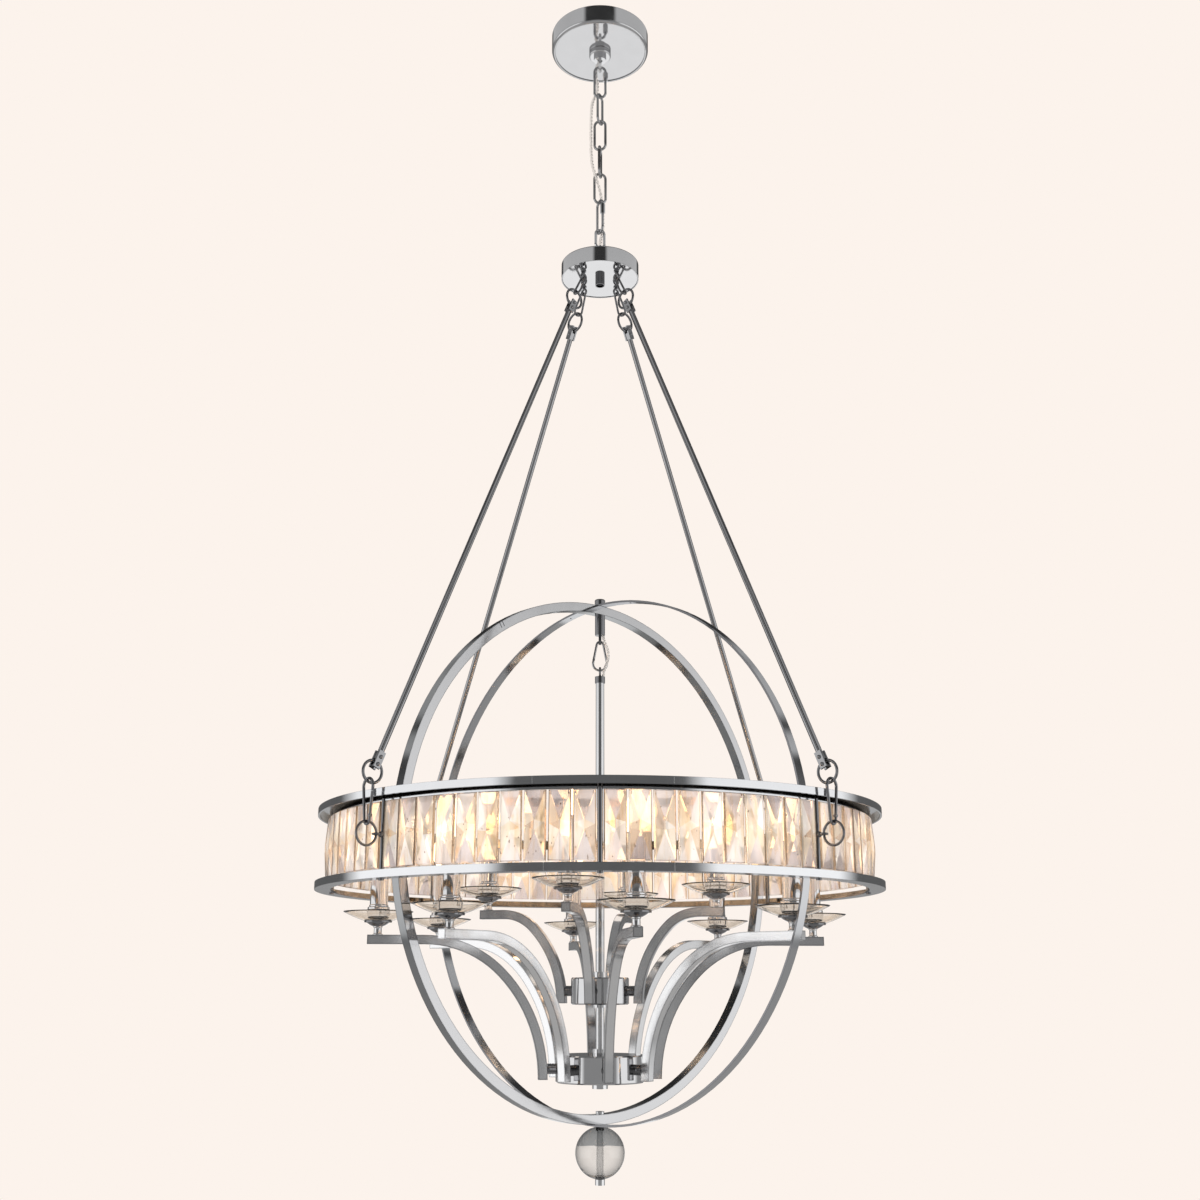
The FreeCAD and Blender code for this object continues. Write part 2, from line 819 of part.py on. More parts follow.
def make_rods():
    """Four long rods with a fork on each end."""
    start = tongue_setback + tongue_length / 2
    bar = pin(rod_diameter / 2, UP * -start, UP * (start - rod_pin_distance))
    upper = clevis(ORIGIN, -1)
    lower = clevis(UP * -rod_pin_distance, 1)
    rod = bar.multiFuse([upper, lower]).removeSplitter()
    places = corner_points()
    leaning = leaned(rod, places["upper_pin"])
    for number, azimuth in enumerate(corner_azimuths, 1):
        save("rod_" + str(number), at_azimuth(leaning, azimuth))
    for name, place in places.items():
        print("corner", name, round(place.x, 2), round(place.z, 2))


def make_hub_eyes():
    """Four eye bolts under the hub's plate, with their nuts above it."""
    plate_top, plate_bottom = hub_plate_heights()
    centre = corner_points()["eye"]
    ring = Part.makeTorus(hub_eye_mean_radius, hub_eye_wire / 2, centre, SIDEWAYS)
    foot = FreeCAD.Vector(centre.x, 0, centre.z + hub_eye_mean_radius)
    nut_top = plate_top + hub_eye_nut_height
    shank = pin(hub_eye_shank / 2, foot, FreeCAD.Vector(centre.x, 0, nut_top))
    nut_start = FreeCAD.Vector(centre.x, 0, plate_top + running_gap)
    nut = Part.makeCylinder(hub_eye_nut_radius, hub_eye_nut_height, nut_start)
    washer_start = FreeCAD.Vector(centre.x, 0, plate_bottom - running_gap - hub_eye_drop / 2)
    washer = Part.makeCylinder(hub_eye_nut_radius, hub_eye_drop / 2, washer_start)
    eye = ring.multiFuse([shank, nut, washer]).removeSplitter()
    save("hub_eyes", group(at_azimuth(eye, azimuth) for azimuth in corner_azimuths))


def make_top_links():
    """The pear links and round rings between the hub's eyes and the rods."""
    places = corner_points()
    loop = WireLoop(top_link_inner_length, top_link_narrow, top_link_wide, top_link_wire)
    link = leaned(turned(loop.solid(), UP, QUARTER_TURN), places["link_top"])
    ring = leaned(hanging_ring(top_ring_diameter, corner_ring_wire), places["ring_top"])
    save("top_snap_links", group(at_azimuth(link, azimuth) for azimuth in corner_azimuths))
    save("top_rings", group(at_azimuth(ring, azimuth) for azimuth in corner_azimuths))


def make_lower_links():
    """Rings, snap links with gates, eye rings and eye bolts between the rods and the posts."""
    places = corner_points()
    low_bend = (lower_ring_diameter - corner_ring_wire) / 2
    ring = Part.makeTorus(low_bend, corner_ring_wire / 2, places["low_ring"], SIDEWAYS)
    loop = WireLoop(snap_inner_length, snap_wide, snap_narrow, snap_wire)
    body, gate = snap_link(loop)
    snap_top = places["snap_top"]
    body = moved(turned(body, UP, QUARTER_TURN), snap_top.x, 0, snap_top.z)
    gate = moved(turned(gate, UP, QUARTER_TURN), snap_top.x, 0, snap_top.z)
    eye_top = places["eye_ring_top"]
    eye_ring = moved(hanging_ring(eye_ring_diameter, eye_ring_wire), eye_top.x, 0, eye_top.z)
    bolt = places["bolt"]
    eye = Part.makeTorus(eye_bolt_mean_radius, eye_bolt_wire / 2, bolt, UP)
    ball_place = FreeCAD.Vector(crystal_circle_radius + eye_bolt_ball_reach, 0, bolt.z)
    ball = Part.makeSphere(eye_bolt_ball_radius, ball_place)
    shank = pin(eye_bolt_shank_radius, ball_place, bolt - OUTWARDS * eye_bolt_mean_radius)
    room_start = FreeCAD.Vector(crystal_circle_radius, 0, bolt.z - 2 * eye_bolt_ball_radius)
    post_room = Part.makeCylinder(post_radius, 4 * eye_bolt_ball_radius, room_start)
    eye_bolt = eye.multiFuse([ball, shank]).cut(post_room).removeSplitter()
    save("lower_rings", group(at_azimuth(ring, azimuth) for azimuth in corner_azimuths))
    save("snap_links", group(at_azimuth(body, azimuth) for azimuth in corner_azimuths))
    save("eye_rings", group(at_azimuth(eye_ring, azimuth) for azimuth in corner_azimuths))
    save("eye_bolts", group(at_azimuth(eye_bolt, azimuth) for azimuth in corner_azimuths))
    for number, azimuth in enumerate(corner_azimuths, 1):
        save("snap_gate_" + str(number), at_azimuth(gate, azimuth))
    lower, upper = loop.side_ends(1)
    hinge = lower + (upper - lower) * gate_hinge_share
    print("snap gate hinge", round(hinge.x, 3), round(hinge.z + snap_top.z, 3), "at", snap_top.x)


def post_azimuths():
    """Azimuths of the ring's posts."""
    return [bay * FULL_TURN / bay_count for bay in range(bay_count)]


def make_bands():
    """The upper and lower steel bands, their posts and the hanging crystals' strip."""
    top = ring_top
    bottom = top - ring_height
    strip = ring_outer_radius - ring_strip_thickness
    hanger_in = crystal_circle_radius - hanger_thickness / 2
    hanger_out = crystal_circle_radius + hanger_thickness / 2
    under = top - ring_flange_thickness
    hanger_bottom = under - hanger_height
    upper = lathe(
        (ring_inner_radius, top),
        (ring_outer_radius, top),
        (ring_outer_radius, top - upper_strip_height),
        (strip, top - upper_strip_height),
        (strip, under),
        (hanger_out, under),
        (hanger_out, hanger_bottom),
        (hanger_in, hanger_bottom),
        (hanger_in, under),
        (ring_inner_radius, under),
    )
    over = bottom + ring_flange_thickness
    lower = lathe(
        (ring_inner_radius, bottom),
        (ring_outer_radius, bottom),
        (ring_outer_radius, bottom + lower_strip_height),
        (strip, bottom + lower_strip_height),
        (strip, over),
        (ring_inner_radius, over),
    )
    centre = OUTWARDS * crystal_circle_radius
    post = Part.makeCylinder(post_radius, under - over, centre + UP * over)
    shank = Part.makeCylinder(post_shank_radius, ring_height, centre + UP * bottom)
    heads = [
        Part.makeCylinder(post_head_radius, post_head_height, centre + UP * top),
        Part.makeCylinder(post_head_radius, post_head_height, centre + UP * (bottom - post_head_height)),
    ]
    whole_post = post.multiFuse([shank] + heads).removeSplitter()
    shank_room = Part.makeCylinder(post_shank_radius, ring_height, centre + UP * bottom)
    post_room = Part.makeCylinder(post_radius, under - over, centre + UP * over)
    rooms = [at_azimuth(shank_room.fuse(post_room), azimuth) for azimuth in post_azimuths()]
    save("band_upper", upper.cut(rooms))
    save("band_lower", lower.cut(rooms))
    save("ring_posts", group(at_azimuth(whole_post, azimuth) for azimuth in post_azimuths()))
    return hanger_bottom


def faceted_crystal(top):
    """One long crystal with two tall triangles and two slanted faces on each side."""
    bottom = top - crystal_height
    half = crystal_width / 2
    centre = crystal_circle_radius
    corners = [(-half, top), (half, top), (half, bottom), (-half, bottom)]
    faces = []
    rims = []
    for side in (1, -1):
        rim = [FreeCAD.Vector(centre + side * crystal_edge, y, z) for y, z in corners]
        ridge_x = centre + side * crystal_swell
        high = FreeCAD.Vector(ridge_x, 0, top - crystal_height * crystal_apex_share)
        low = FreeCAD.Vector(ridge_x, 0, bottom + crystal_height * crystal_apex_share)
        facets = [
            (rim[0], rim[1], high),
            (rim[1], rim[2], low, high),
            (rim[2], rim[3], low),
            (rim[3], rim[0], high, low),
        ]
        faces += [Part.Face(Part.makePolygon(list(facet) + [facet[0]])) for facet in facets]
        rims.append(rim)
    for place in range(4):
        after = (place + 1) % 4
        edge = (rims[0][place], rims[0][after], rims[1][after], rims[1][place])
        faces.append(Part.Face(Part.makePolygon(list(edge) + [edge[0]])))
    solid = Part.Solid(Part.Shell(faces))
    if solid.Volume < 0:
        solid.reverse()
    return solid


def make_crystals(hanger_bottom):
    """Eight bays of crystals that hang under the strip."""
    crystal = faceted_crystal(hanger_bottom - contact_gap)
    first = (FULL_TURN / bay_count - (crystals_per_bay - 1) * crystal_pitch) / 2
    copies = []
    for azimuth in post_azimuths():
        for place in range(crystals_per_bay):
            copies.append(at_azimuth(crystal, azimuth + first + place * crystal_pitch))
    save("crystals", group(copies))


def hoop(inner, outer, width, wall, azimuth):
    """An upright hoop of rectangular section, hollow where a wall is given."""
    section = Part.makePlane(outer - inner, width, FreeCAD.Vector(inner, -width / 2, 0))
    if wall:
        size = outer - inner - 2 * wall
        corner = FreeCAD.Vector(inner + wall, -width / 2 + wall, 0)
        section = section.cut(Part.makePlane(size, width - 2 * wall, corner))
    ring = section.revolve(ORIGIN, SIDEWAYS, FULL_TURN)
    return at_azimuth(moved(ring, 0, 0, hoop_centre_height), azimuth)


def hoop_radii():
    """Outer radius of the tube hoop, and inner and outer radius of the strip hoop."""
    tube_outer = hoop_inner_radius + hoop_tube_depth
    strip_inner = tube_outer + hoop_strip_gap
    return tube_outer, strip_inner, strip_inner + hoop_strip_thickness


def make_hoops():
    """The square tube hoop and the flat strip hoop that crosses it at the poles."""
    tube_outer, strip_inner, strip_outer = hoop_radii()
    drill_length = 2 * (strip_outer + cut_overrun)
    drill_start = UP * (hoop_centre_height - strip_outer - cut_overrun)
    drill = Part.makeCylinder(pole_bore_radius, drill_length, drill_start)
    tube = hoop(hoop_inner_radius, tube_outer, hoop_width, hoop_tube_wall, tube_azimuth)
    strip = hoop(strip_inner, strip_outer, hoop_width, 0, strip_azimuth)
    save("hoop_tube", solid_of(tube.cut(drill)))
    save("hoop_strip", solid_of(strip.cut(drill)))


def solid_of(shape):
    """The single solid of a shape."""
    return shape.Solids[0] if len(shape.Solids) == 1 else shape


def make_poles():
    """The knob and coupler at the top pole, and the finial at the bottom pole."""
    strip_outer = hoop_radii()[2]
    top = hoop_centre_height + strip_outer
    inside_top = hoop_centre_height + hoop_inner_radius
    edge = pole_knob_edge
    edge_centre = (pole_knob_radius - edge, top + pole_knob_height - edge)
    threaded = pole_bore_radius - running_gap
    knob = lathe(
        (0, inside_top + contact_gap),
        (threaded, inside_top + contact_gap),
        (threaded, top),
        (pole_knob_radius, top),
        (pole_knob_radius, edge_centre[1]),
        corner_arc_up(edge_centre, edge),
        (0, top + pole_knob_height),
    )
    save("pole_knob", knob)
    coupler_bottom = inside_top - coupler_length
    body = Part.makeCylinder(coupler_radius, coupler_length - contact_gap, UP * coupler_bottom)
    hole_height = coupler_bottom - coupler_eye_drop
    tongue = block(coupler_eye_thickness, coupler_eye_width, hole_height, coupler_bottom)
    half = OUTWARDS * (coupler_eye_thickness / 2)
    place = UP * hole_height
    round_end = pin(coupler_eye_width / 2, place - half, place + half)
    eye_hole = pin(coupler_eye_hole_radius, place - half * 2, place + half * 2)
    bore_start = FreeCAD.Vector(small_bore_out, small_bore_front, coupler_bottom)
    wire_bore = Part.makeCylinder(small_bore_radius, coupler_length / 2, bore_start)
    coupler = body.multiFuse([tongue, round_end]).cut([eye_hole, wire_bore])
    save("pole_coupler", coupler.removeSplitter())
    return hole_height


def corner_arc_up(centre, radius):
    """A quarter arc from the outer side up to the top, as an outline's step."""
    places = []
    for turn in (EIGHTH_TURN, QUARTER_TURN):
        x = centre[0] + radius * math.cos(math.radians(turn))
        z = centre[1] + radius * math.sin(math.radians(turn))
        places.append((x, z))
    return tuple(places)


def make_finial():
    """The rod through the bottom pole, the clear ball threaded on it and its nut."""
    strip_outer = hoop_radii()[2]
    pole = hoop_centre_height - strip_outer
    inside = hoop_centre_height - hoop_inner_radius
    half_bore = math.sqrt(finial_ball_radius ** 2 - finial_bore_radius ** 2)
    ball_centre = pole - half_bore
    ball_bottom = ball_centre - half_bore
    nut_bottom = ball_bottom - finial_nut_height
    ball = Part.makeSphere(finial_ball_radius, UP * ball_centre)
    drill = Part.makeCylinder(
        finial_bore_radius, 2 * finial_ball_radius, UP * (ball_centre - finial_ball_radius)
    )
    save("finial_ball", solid_of(ball.cut(drill)))
    rod_bottom = nut_bottom + finial_head_height / 2
    rod = Part.makeCylinder(finial_rod_radius, inside + contact_gap - rod_bottom, UP * rod_bottom)
    head = Part.makeCylinder(finial_head_radius, finial_head_height, UP * (inside + contact_gap))
    save("finial_rod", rod.fuse(head).removeSplitter())
    nut = Part.makeCylinder(finial_nut_radius, finial_nut_height, UP * nut_bottom)
    bore = finial_rod_radius + running_gap
    room = Part.makeCylinder(bore, ball_bottom - rod_bottom, UP * rod_bottom)
    save("finial_nut", nut.cut(room))


def make_centre_hook(hole_height):
    """The snap link between the coupler and the stem, and the stem's loop."""
    loop = WireLoop(
        centre_link_inner_length, centre_link_narrow, centre_link_wide, centre_link_wire
    )
    inner_bend = loop.top_bend - loop.radius
    bearing_rise = inner_bend - math.sqrt(inner_bend ** 2 - (coupler_eye_thickness / 2) ** 2)
    link_top = hole_height - coupler_eye_hole_radius + loop.radius + contact_gap + bearing_rise
    body, gate = snap_link(loop)
    body = turned(body, UP, HALF_TURN)
    gate = turned(gate, UP, HALF_TURN)
    save("centre_link", moved(body, 0, 0, link_top))
    save("centre_gate", moved(gate, 0, 0, link_top))
    lower, upper = loop.side_ends(1)
    hinge = lower + (upper - lower) * gate_hinge_share
    print("centre gate hinge", round(-hinge.x, 3), round(hinge.z + link_top, 3))
    link_bottom = link_top - loop.drop
    loop_top = link_bottom + (centre_link_wire + stem_loop_wire) / 2 + contact_gap
    collar_top = loop_top - 2 * stem_loop_mean_radius
    ring = Part.makeTorus(
        stem_loop_mean_radius, stem_loop_wire / 2, UP * (loop_top - stem_loop_mean_radius), OUTWARDS
    )
    collar_bottom = collar_top - stem_collar_height
    collar = Part.makeCylinder(stem_collar_radius, stem_collar_height, UP * collar_bottom)
    bore_place = FreeCAD.Vector(small_bore_out, small_bore_front, collar_bottom)
    bore = Part.makeCylinder(small_bore_radius, stem_collar_height + cut_overrun, bore_place)
    save("stem_loop", ring.fuse(collar).cut(bore).removeSplitter())
    return collar_bottom


def make_stem(stem_top):
    """The hollow stem and the nuts that hold both cluster hubs on it."""
    outer = Part.makeCylinder(stem_radius, stem_top - stem_end_height, UP * stem_end_height)
    inner = Part.makeCylinder(
        stem_radius - stem_wall, stem_top - stem_end_height, UP * (stem_end_height - stem_wall)
    )
    save("stem", outer.cut(inner))
    half = cluster_hub_depth / 2
    bore = stem_radius + running_gap
    nuts = []
    for height in (upper_hub_height, lower_hub_height):
        nuts.append(ring_piece(bore, cluster_nut_radius, height + half, cluster_nut_height))
    cap_bottom = upper_hub_height - half - cluster_cap_height
    nuts.append(ring_piece(bore, cluster_nut_radius, cap_bottom, cluster_cap_height))
    low = lower_hub_height - half
    cap_height = 2 * cluster_cap_height
    cap = Part.makeCylinder(cluster_nut_radius, cap_height, UP * (low - cap_height))
    room = Part.makeCylinder(bore, low - stem_end_height, UP * stem_end_height)
    nuts.append(cap.cut(room))
    save("cluster_nuts", group(nuts))


def ring_piece(inner, outer, bottom, height):
    """A flat ring on the axis."""
    return lathe((inner, bottom), (outer, bottom), (outer, bottom + height), (inner, bottom + height))


class ArmSet:
    """Square-tube arms that rise from one hub and carry the candles."""

    def __init__(self, name, turn, sizes):
        count, hub_radius, hub_height, spacer_length, start_height, rise, reach = sizes[:7]
        self.name = name
        self.azimuths = [turn + FULL_TURN * place / count for place in range(count)]
        self.hub_radius = hub_radius
        self.hub_height = hub_height
        self.axis_radius = hub_radius + spacer_length + arm_width / 2
        self.start = start_height
        self.candle_radius, self.end_radius = sizes[7:]
        difference = (rise - reach) / (2 * math.sin(math.pi / 4) - 1)
        self.first_bend = (rise + reach + difference) / 2
        self.second_bend = (rise + reach - difference) / 2
        self.level = start_height + rise

    def edge(self, offset, end_radius):
        """One long edge of the arm's outline: an upright start, two bends and a level end."""
        first_centre = (self.axis_radius + self.first_bend, self.start)
        change = (self.first_bend - self.second_bend) * math.sin(math.pi / 4)
        second_centre = (first_centre[0] - change, self.start + change)
        places = []
        first = (first_centre, self.first_bend + offset)
        second = (second_centre, self.second_bend + offset)
        for place, (centre, radius) in enumerate((first, first, first, second, second)):
            turn = math.radians(QUARTER_TURN * place / 4)
            x = centre[0] - radius * math.cos(turn)
            places.append((x, centre[1] + radius * math.sin(turn)))
        places.append((end_radius, self.level + offset))
        return places

    def bar(self, half, width, end_radius):
        """The arm's outline made as thick as its width."""
        outer = self.edge(half, end_radius)
        inner = self.edge(-half, end_radius)
        face = outline_face(
            outer[0],
            (outer[1], outer[2]),
            (outer[3], outer[4]),
            outer[5],
            inner[5],
            inner[4],
            (inner[3], inner[2]),
            (inner[1], inner[0]),
        )
        face.translate(SIDEWAYS * (-width / 2))
        return face.extrude(SIDEWAYS * width)

    def arm(self):
        """One hollow arm with its two wire holes, in the local frame."""
        half = arm_width / 2
        inner_width = arm_width - 2 * arm_wall
        hollow = self.bar(half - arm_wall, inner_width, self.end_radius - arm_wall)
        foot = (self.start - arm_wall, self.start + arm_wall)
        hollow = hollow.cut(block(arm_width * 2, arm_width, *foot, self.axis_radius))
        hole_start = FreeCAD.Vector(self.axis_radius - arm_width, 0, self.hub_height)
        side_hole = Part.makeCylinder(nipple_radius + running_gap, arm_width, hole_start, OUTWARDS)
        top_start = FreeCAD.Vector(self.candle_radius, 0, self.level)
        top_hole = Part.makeCylinder(nipple_bore_radius, arm_width, top_start)
        return self.bar(half, arm_width, self.end_radius).cut([hollow, side_hole, top_hole])

    def spacer(self):
        """The grooved spacer and its hollow nipple between the hub and the arm."""
        face = self.axis_radius - arm_width / 2
        length = face - self.hub_radius
        start = FreeCAD.Vector(self.hub_radius, 0, self.hub_height)
        body = Part.makeCylinder(spacer_radius, length, start, OUTWARDS)
        grooves = []
        for share in spacer_groove_shares:
            place = start + OUTWARDS * (length * share - spacer_groove_width / 2)
            ring = Part.makeCylinder(spacer_radius + cut_overrun, spacer_groove_width, place, OUTWARDS)
            core = Part.makeCylinder(spacer_radius - spacer_groove, spacer_groove_width, place, OUTWARDS)
            grooves.append(ring.cut(core))
        nipple_start = start - OUTWARDS * nipple_reach
        nipple_length = length + nipple_reach + arm_wall + nipple_bore_radius
        nipple = Part.makeCylinder(nipple_radius, nipple_length, nipple_start, OUTWARDS)
        bore = Part.makeCylinder(nipple_bore_radius, nipple_length, nipple_start, OUTWARDS)
        return body.cut(grooves).fuse(nipple).cut(bore).removeSplitter()


lower_arms = ArmSet("arms_lower", lower_arm_turn, lower_arm_sizes)
upper_arms = ArmSet("arms_upper", upper_arm_turn, upper_arm_sizes)


def make_cluster_hubs():
    """The two hollow drums that the arms screw to."""
    for node, arms in (("cluster_hub_upper", upper_arms), ("cluster_hub_lower", lower_arms)):
        radius = arms.hub_radius
        top = arms.hub_height + cluster_hub_depth / 2
        bottom = arms.hub_height - cluster_hub_depth / 2
        bore = stem_radius + running_gap
        edge = cluster_hub_edge
        drum = lathe(
            (bore, bottom),
            (radius - edge, bottom),
            (radius, bottom + edge),
            (radius, top - edge),
            (radius - edge, top),
            (bore, top),
        )
        wall = cluster_hub_wall
        inner = lathe(
            (bore + wall, bottom + wall),
            (radius - wall, bottom + wall),
            (radius - wall, top - wall),
            (bore + wall, top - wall),
        )
        start = FreeCAD.Vector(radius - nipple_reach - cut_overrun, 0, arms.hub_height)
        length = nipple_reach + 2 * cut_overrun
        hole = Part.makeCylinder(nipple_radius + running_gap, length, start, OUTWARDS)
        holes = [at_azimuth(hole, azimuth) for azimuth in arms.azimuths]
        save(node, solid_of(drum.cut([inner] + holes)))


def candle_cup(dish_seat):
    """Post, convex pan and cup in one solid; the neck between pan and cup passes the dish."""
    pan_bottom = cup_post_height
    pan_top = pan_bottom + pan_height
    cup_bottom = dish_seat + dish_thickness + contact_gap
    cup_top = cup_bottom + cup_height
    belly = (pan_radius * pan_belly_radius_share, pan_bottom + pan_height * pan_belly_height_share)
    cup_belly = (cup_radius * cup_belly_share, cup_bottom + cup_height * cup_belly_height_share)
    step_height = cup_bottom + cup_height * cup_step_share
    return lathe(
        (nipple_bore_radius, 0),
        (cup_post_radius, 0),
        (cup_post_radius, pan_bottom),
        (belly, (pan_radius, pan_top - pan_edge)),
        (pan_radius, pan_top),
        (cup_neck_radius, pan_top),
        (cup_neck_radius, cup_bottom),
        (cup_radius * cup_base_share, cup_bottom),
        (cup_belly, (cup_radius, cup_bottom + cup_height * cup_side_share)),
        (cup_radius, step_height),
        (cup_radius - cup_step, step_height),
        (cup_radius - cup_step, cup_top),
        (nipple_bore_radius, cup_top),
    ), cup_top


def glass_dish(seat):
    """A shallow round dish that lies on the pan and turns up at its rim."""
    rim = seat + dish_rise
    flat = pan_radius * dish_flat_share
    middle = (flat + dish_radius) / 2
    under = (middle, seat + dish_rise * dish_sag_share)
    over = (middle, seat + dish_rise * dish_sag_share + dish_thickness)
    inner_edge = dish_radius - dish_edge_thickness
    return lathe(
        (cup_neck_radius + contact_gap, seat),
        (flat, seat),
        (under, (dish_radius, rim)),
        (dish_radius, rim + dish_rim_height),
        (inner_edge, rim + dish_rim_height),
        (inner_edge, rim + dish_edge_thickness),
        (over, (flat, seat + dish_thickness)),
        (cup_neck_radius + contact_gap, seat + dish_thickness),
    )


def lamp_holder(bottom, top):
    """The holder on its hollow foot inside the sleeve, with a well for the bulb's base."""
    radius = sleeve_radius - sleeve_wall - holder_clearance
    shoulder = bottom + holder_foot_height
    well = top - holder_bore_depth
    return lathe(
        (nipple_bore_radius, bottom),
        (holder_foot_radius, bottom),
        (holder_foot_radius, shoulder),
        (radius, shoulder + radius - holder_foot_radius),
        (radius, top),
        (holder_bore_radius, top),
        (holder_bore_radius, well),
        (nipple_bore_radius, well),
    )


def candle_bulb(bottom):
    """A candle bulb with its base."""
    widest = bottom + bulb_height * bulb_widest_share
    tip = bottom + bulb_height
    shoulder = (bulb_radius * bulb_shoulder_share, (bottom + widest) / 2)
    taper = (bulb_radius * bulb_taper_share, widest + (tip - widest) * bulb_taper_height_share)
    return lathe(
        (0, bottom - bulb_base_depth),
        (bulb_base_radius, bottom - bulb_base_depth),
        (bulb_base_radius, bottom),
        (bulb_neck_radius, bottom),
        (shoulder, (bulb_radius, widest)),
        (taper, (bulb_tip_radius, tip)),
        (0, tip),
    )


def candle_pieces():
    """The pieces of one candle, standing on the origin: cup, dish, sleeve, holder and bulb."""
    dish_seat = cup_post_height + pan_height + contact_gap
    cup, cup_top = candle_cup(dish_seat)
    sleeve_bottom = cup_top + contact_gap
    sleeve_top = sleeve_bottom + sleeve_height
    sleeve = ring_piece(sleeve_radius - sleeve_wall, sleeve_radius, sleeve_bottom, sleeve_height)
    return dict(
        candle_cups=cup,
        glass_dishes=glass_dish(dish_seat),
        candle_sleeves=sleeve,
        lamp_holders=lamp_holder(cup_top, sleeve_top - sleeve_wall),
        bulbs=candle_bulb(sleeve_top + contact_gap),
    )


def make_arms_and_candles():
    """All arms with their spacers and candles."""
    pieces = candle_pieces()
    copies = dict((node, []) for node in pieces)
    spacers = []
    for arms in (lower_arms, upper_arms):
        arm = solid_of(arms.arm())
        save(arms.name, group(at_azimuth(arm, azimuth) for azimuth in arms.azimuths))
        spacers += [at_azimuth(arms.spacer(), azimuth) for azimuth in arms.azimuths]
        for name, piece in pieces.items():
            standing = moved(piece, arms.candle_radius, 0, arms.level + arm_width / 2)
            copies[name] += [at_azimuth(standing, azimuth) for azimuth in arms.azimuths]
    save("arm_spacers", group(spacers))
    for name, solids in copies.items():
        save(name, group(solids))


make_crossbar()
make_canopy()
make_canopy_collar()
make_canopy_loop()
make_chain()
make_hub_loop()
make_hub()
make_hub_eyes()
make_top_links()
make_rods()
make_lower_links()
make_crystals(make_bands())
make_hoops()
stem_top = make_centre_hook(make_poles())
make_finial()
make_stem(stem_top)
make_cluster_hubs()
make_arms_and_candles()
save("power_cord", cord_tube(power_cord_route, power_cord_diameter))
save("centre_cord", cord_tube(centre_cord_route, centre_cord_diameter))
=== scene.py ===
"""Looks of a twelve-light crystal ring chandelier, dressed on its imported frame.

Metres, +Z up, the ceiling plane at 0. An azimuth of 0 faces -Y and grows towards +X.
Turned profiles, crystals and cord routes are written in millimetres.
"""

import math
import random

import bmesh
import bpy
from mathutils import Matrix, Vector


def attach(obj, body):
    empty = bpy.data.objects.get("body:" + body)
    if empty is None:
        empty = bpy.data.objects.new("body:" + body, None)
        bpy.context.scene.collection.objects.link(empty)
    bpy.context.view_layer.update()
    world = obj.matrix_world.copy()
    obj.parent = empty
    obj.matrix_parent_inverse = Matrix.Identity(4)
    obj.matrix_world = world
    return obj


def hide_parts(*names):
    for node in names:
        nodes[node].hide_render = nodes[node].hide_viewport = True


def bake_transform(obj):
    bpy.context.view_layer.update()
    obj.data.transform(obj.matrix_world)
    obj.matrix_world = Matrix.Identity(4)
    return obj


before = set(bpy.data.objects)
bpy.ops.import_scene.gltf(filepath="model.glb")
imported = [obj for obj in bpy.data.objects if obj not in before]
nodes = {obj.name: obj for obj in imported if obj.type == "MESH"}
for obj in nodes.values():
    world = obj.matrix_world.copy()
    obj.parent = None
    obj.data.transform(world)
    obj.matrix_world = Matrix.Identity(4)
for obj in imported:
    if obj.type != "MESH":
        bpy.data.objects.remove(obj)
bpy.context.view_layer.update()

MM = 0.001
FULL_TURN = 2 * math.pi
PALE = (0.974, 0.896, 0.838)


# Node trees

def new_material(name):
    """A material with its tree and its main shader."""
    material = bpy.data.materials.new(name)
    material.use_nodes = True
    shader = material.node_tree.nodes["Principled BSDF"]
    return material, material.node_tree, shader


def add(tree, kind, **values):
    """Adds a node; values set its properties, or its inputs where a name is an input's."""
    node = tree.nodes.new(kind)
    for key, value in values.items():
        if hasattr(node, key):
            setattr(node, key, value)
        else:
            node.inputs[key.replace("_", " ")].default_value = value
    return node


def math_node(tree, operation, first, second=0.0, third=0.0):
    """One calculation; each operand is a number or a socket."""
    node = tree.nodes.new("ShaderNodeMath")
    node.operation = operation
    for place, operand in enumerate((first, second, third)):
        if hasattr(operand, "is_output"):
            tree.links.new(operand, node.inputs[place])
        else:
            node.inputs[place].default_value = operand
    return node.outputs[0]


def dot_product(tree, first, second):
    """The dot product of a direction's socket with another socket or a fixed direction."""
    node = tree.nodes.new("ShaderNodeVectorMath")
    node.operation = "DOT_PRODUCT"
    tree.links.new(first, node.inputs[0])
    if hasattr(second, "is_output"):
        tree.links.new(second, node.inputs[1])
    else:
        node.inputs[1].default_value = second
    return node.outputs["Value"]


def noise(tree, scale, detail=3.0, stretch=(1, 1, 1), roughness=0.5):
    """Noise in the object's own metres."""
    place = tree.nodes.new("ShaderNodeTexCoord")
    mapping = tree.nodes.new("ShaderNodeMapping")
    mapping.inputs["Scale"].default_value = stretch
    tree.links.new(place.outputs["Object"], mapping.inputs["Vector"])
    texture = tree.nodes.new("ShaderNodeTexNoise")
    texture.inputs["Scale"].default_value = scale
    texture.inputs["Detail"].default_value = detail
    texture.inputs["Roughness"].default_value = roughness
    tree.links.new(mapping.outputs["Vector"], texture.inputs["Vector"])
    return texture.outputs["Fac"]


def ranged(tree, value, low, high, from_low=0.3, from_high=0.7):
    """Spreads a value, by default a noise, over the range from low to high."""
    node = tree.nodes.new("ShaderNodeMapRange")
    for name, number in (
        ("From Min", from_low), ("From Max", from_high), ("To Min", low), ("To Max", high)
    ):
        if hasattr(number, "is_output"):
            tree.links.new(number, node.inputs[name])
        else:
            node.inputs[name].default_value = number
    tree.links.new(value, node.inputs["Value"])
    return node.outputs["Result"]


